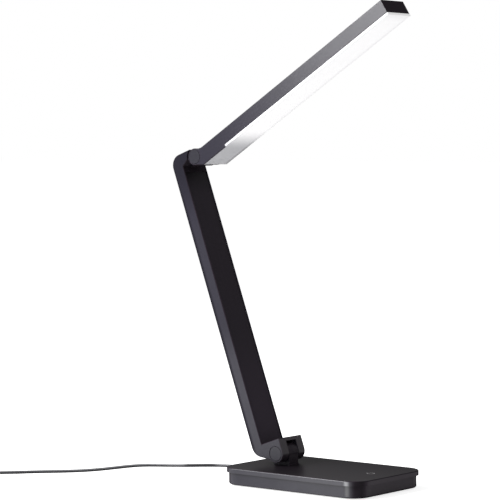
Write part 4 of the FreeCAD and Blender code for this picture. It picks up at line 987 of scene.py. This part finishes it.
class LAMP_OT_lead(bpy.types.Operator):
    """Lay the lead from the base to its coil and plug"""

    bl_idname = "lamp.lead"
    bl_label = "Lead"

    def execute(self, context):
        finishes, sizes = context.scene.lamp_finishes, context.scene.lamp_sizes
        curve = bpy.data.curves.new("lead", "CURVE")
        curve.dimensions = "3D"
        curve.bevel_depth = sizes.lead_diameter / 2
        curve.bevel_resolution = LEAD_ROUNDNESS
        curve.resolution_u = LEAD_STEPS
        curve.use_fill_caps = True
        spline = curve.splines.new("NURBS")
        route = lead_route(sizes)
        spline.points.add(len(route) - 1)
        for control, point in zip(spline.points, route):
            control.co = (*point, 1.0)
        spline.order_u = 3
        spline.use_endpoint_u = True
        jacket = lead_jacket("lead_jacket", finishes.lead, finishes.upper_highlight)
        lead = add_piece("lead", curve, "base", "cord_jacket", jacket, "cord_lead", "cord_coil", "cord_tail")
        dress(soft_rubber("lead_rubber", finishes.rubber), "cord_gland")
        on_it = [bpy.data.objects[name] for name in ("tie_strap", "plug_moulding")]
        on_it += [NODES[name] for name in ("plug_shell", "plug_tongue")]
        return {"FINISHED"}


class LAMP_OT_base(bpy.types.Operator):
    """Finish the base's shells and hinge knuckle"""

    bl_idname = "lamp.base"
    bl_label = "Base"

    def execute(self, context):
        finishes = context.scene.lamp_finishes
        # The lid gets a brighter painted corner highlight and a deeper painted shade
        lid = moulded_plastic("lid_plastic", finishes.shell, base_gloss, base_painted_shade, base_polish,
                              coat_ior=1.8, corner_highlight=0.30, depth=0.26)
        knuckle = moulded_plastic("knuckle_plastic", finishes.shell, polished=knuckle_polish)
        tray = moulded_plastic("tray_plastic", finishes.tray, base_gloss, base_painted_shade, base_polish,
                               coat_ior=1.65)
        dress(lid, "base_lid")
        dress(knuckle, "hinge_knuckle")
        dress(tray, "base_tray")
        return {"FINISHED"}


class LAMP_OT_touch_mark(bpy.types.Operator):
    """Print the touch switch's mark on the lid"""

    bl_idname = "lamp.touch_mark"
    bl_label = "Touch mark"

    def execute(self, context):
        finishes, sizes = context.scene.lamp_finishes, context.scene.lamp_sizes
        low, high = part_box("touch_electrode")
        lid_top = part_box("base_lid")[1].z
        radius, half = sizes.mark_radius, sizes.mark_stroke / 2
        inner, outer = radius - half, radius + half
        shape = bmesh.new()
        corners = [shape.verts.new((reach, 0, height)) for reach, height in (
            (inner, 0), (outer, 0), (outer, INK_THICKNESS), (inner, INK_THICKNESS))]
        section = shape.faces.new(corners)
        start = Matrix.Rotation(math.pi + MARK_GAP, 3, "Z")
        bmesh.ops.rotate(shape, verts=corners, cent=(0, 0, 0), matrix=start)
        bmesh.ops.spin(shape, geom=[section, *section.edges, *corners], cent=(0, 0, 0), axis=UP,
                       angle=2 * (math.pi - MARK_GAP), steps=MARK_STEPS)
        block(shape, (-radius * 1.5, -half, 0), (-radius * 0.5, half, INK_THICKNESS))
        place = (low + high) / 2
        place.z = lid_top
        bmesh.ops.translate(shape, verts=shape.verts[:], vec=place)
        add_piece("touch_mark", to_mesh("touch_mark", shape), "base", "shell_plastic",
                  printed_mark("touch_ink", finishes.mark))
        return {"FINISHED"}


class LAMP_OT_arm(bpy.types.Operator):
    """Finish the arm, its cover and the hinge caps"""

    bl_idname = "lamp.arm"
    bl_label = "Arm"

    def execute(self, context):
        finishes = context.scene.lamp_finishes
        dress(moulded_plastic("arm_plastic", finishes.shell, arm_gloss, arm_painted_shade, fork_polish), "arm_shell")
        dress(smooth_cover("cover_plastic", finishes.cover), "arm_front_cover")
        dress(turned_cap("lower_cap_plastic", finishes.cap, 0.5), "lower_hinge_caps")
        # The upper caps get a darker copy of the cap colour, painted shade
        dress(turned_cap("upper_cap_plastic", shade(finishes.cap, 0.9), 0.03), "upper_hinge_caps")
        return {"FINISHED"}


class LAMP_OT_light_bar(bpy.types.Operator):
    """Finish the light bar's shell and diffuser"""

    bl_idname = "lamp.light_bar"
    bl_label = "Light bar"

    def execute(self, context):
        finishes = context.scene.lamp_finishes
        # The light bar's edges get a stronger painted highlight
        dress(moulded_plastic("bar_plastic", finishes.shell, bar_gloss, edge=3.5), "head_shell")
        dress(milky_diffuser("milky_plastic", finishes.diffuser), "diffuser")
        return {"FINISHED"}


class LAMP_OT_inner_parts(bpy.types.Operator):
    """Finish what the shells hide"""

    bl_idname = "lamp.inner_parts"
    bl_label = "Inner parts"

    def execute(self, context):
        finishes = context.scene.lamp_finishes
        dress(plated_metal("steel", INNER_STEEL, 0.35), "ballast_plate", "knuckle_plate", "knuckle_screws",
              "board_screws", "led_board_screws", "lower_hinge_pin", "upper_hinge_pin", "lower_lock_nut",
              "upper_lock_nut")
        dress(soft_rubber("wire_sleeve", finishes.lead, 0.45),
              "supply_wire", "riser_wire", "arm_wire", "head_wire")
        for name, colour, *nodes in INNER_SHEETS:
            dress(printed_mark(name, colour), *nodes)
        dress(soft_rubber("electrode_foam", ELECTRODE_FOAM, 0.8), "touch_electrode")
        return {"FINISHED"}


class LAMP_OT_stage(bpy.types.Operator):
    """Set up the floor, the lamps and the camera"""

    bl_idname = "lamp.stage"
    bl_label = "Stage"

    def execute(self, context):
        scene = context.scene
        studio = scene.lamp_studio
        scene.view_settings.view_transform = "Standard"
        self.add_floor(scene)
        self.light_world(scene, studio)
        for name, place, target, side in LAMPS:
            self.add_lamp(scene, name, place, target, side, getattr(studio, name + "_power"))
        self.add_camera(scene, studio)
        return {"FINISHED"}

    def add_floor(self, scene):
        """A pale floor that shows white to the camera and keeps a soft shadow."""
        shape = bmesh.new()
        bmesh.ops.create_grid(shape, x_segments=1, y_segments=1, size=FLOOR_REACH)
        mesh = bpy.data.meshes.new("floor")
        shape.to_mesh(mesh)
        shape.free()
        floor = bpy.data.objects.new("floor", mesh)
        scene.collection.objects.link(floor)
        finish = Finish("floor_paint", Base_Color=FLOOR_PAINT, Roughness=0.9, Specular_IOR_Level=0.0,
                        Emission_Color=WHITE)
        finish.set("Emission Strength", self.seen_level(finish, 0.0, FLOOR_GLOW))
        paint = Wire(finish, finish.shader.outputs[0])
        clear = finish.node("ShaderNodeBsdfTransparent")
        below = finish.node("ShaderNodeNewGeometry", output="Backfacing")
        shown = finish.node("ShaderNodeMixShader", sockets={0: below, 1: paint, 2: clear})
        finish.feed(finish.tree.nodes["Material Output"].inputs["Surface"], shown)
        mesh.materials.append(finish.material)
        floor.location.z = -FLOOR_DROP

    def light_world(self, scene, studio):
        """Even light from all round, with a white background for the camera, gloss and glass."""
        scene.world = bpy.data.worlds.new("studio")
        scene.world.use_nodes = True
        nodes = Nodes(scene.world.node_tree)
        background = nodes.tree.nodes["Background"]
        nodes.feed(background.inputs["Color"], WHITE)
        nodes.feed(background.inputs["Strength"], self.seen_level(nodes, studio.world_level, 1.0))

    def seen_level(self, nodes, plain, seen):
        """A strength that differs for rays that show the background."""
        rays = ("Is Camera Ray", "Is Glossy Ray", "Is Transmission Ray")
        shown = nodes.larger(*[nodes.node("ShaderNodeLightPath", output=ray) for ray in rays])
        return nodes.node("ShaderNodeMapRange", sockets={"Value": shown, "To Min": plain, "To Max": seen})

    def add_lamp(self, scene, name, place, target, side, power):
        """A soft square lamp that points at a target and that only its light shows."""
        data = bpy.data.lights.new(name, "AREA")
        data.shape = "SQUARE"
        data.size = side
        data.energy = power
        lamp = bpy.data.objects.new(name, data)
        scene.collection.objects.link(lamp)
        lamp.visible_camera = False
        lamp.location = place
        lamp.rotation_euler = (Vector(target) - Vector(place)).to_track_quat("-Z", "Y").to_euler()

    def add_camera(self, scene, studio):
        """The camera at its eye point, aimed at its target and turned a little about its view."""
        camera = bpy.data.objects.new("camera", bpy.data.cameras.new("camera"))
        scene.collection.objects.link(camera)
        away = Vector(studio.target) - Vector(studio.eye)
        aim = away.to_track_quat("-Z", "Y").to_matrix() @ Matrix.Rotation(studio.roll, 3, "Z")
        camera.location = studio.eye
        camera.rotation_euler = aim.to_euler()
        camera.data.lens = studio.lens
        camera.data.sensor_width = SENSOR_WIDTH
        camera.data.clip_start = CLIP_START
        scene.camera = camera


OPERATORS = (
    LAMP_OT_stage,
    LAMP_OT_tie,
    LAMP_OT_plug,
    LAMP_OT_lead,
    LAMP_OT_base,
    LAMP_OT_feet,
    LAMP_OT_screws,
    LAMP_OT_touch_mark,
    LAMP_OT_arm,
    LAMP_OT_light_bar,
    LAMP_OT_inner_parts,
)


class LAMP_PT_panel(bpy.types.Panel):
    """The lamp's operators and settings in the sidebar"""

    bl_idname = "LAMP_PT_panel"
    bl_label = "Desk Lamp"
    bl_space_type = "VIEW_3D"
    bl_region_type = "UI"
    bl_category = "Desk Lamp"

    def draw(self, context):
        scene = context.scene
        for operator in OPERATORS:
            self.layout.operator(operator.bl_idname)
        for group in (scene.lamp_finishes, scene.lamp_sizes, scene.lamp_studio):
            for name in group.bl_rna.properties.keys():
                if name not in ("rna_type", "name"):
                    self.layout.prop(group, name)


CLASSES = (LampFinishes, LampSizes, StudioSettings, *OPERATORS, LAMP_PT_panel)


def register():
    for item in CLASSES:
        bpy.utils.register_class(item)
    bpy.types.Scene.lamp_finishes = PointerProperty(type=LampFinishes)
    bpy.types.Scene.lamp_sizes = PointerProperty(type=LampSizes)
    bpy.types.Scene.lamp_studio = PointerProperty(type=StudioSettings)


def unregister():
    del bpy.types.Scene.lamp_studio
    del bpy.types.Scene.lamp_sizes
    del bpy.types.Scene.lamp_finishes
    for item in reversed(CLASSES):
        bpy.utils.unregister_class(item)


def main():
    register()
    for operator in OPERATORS:
        group, name = operator.bl_idname.split(".")
        getattr(getattr(bpy.ops, group), name)()


if __name__ == "__main__":
    main()
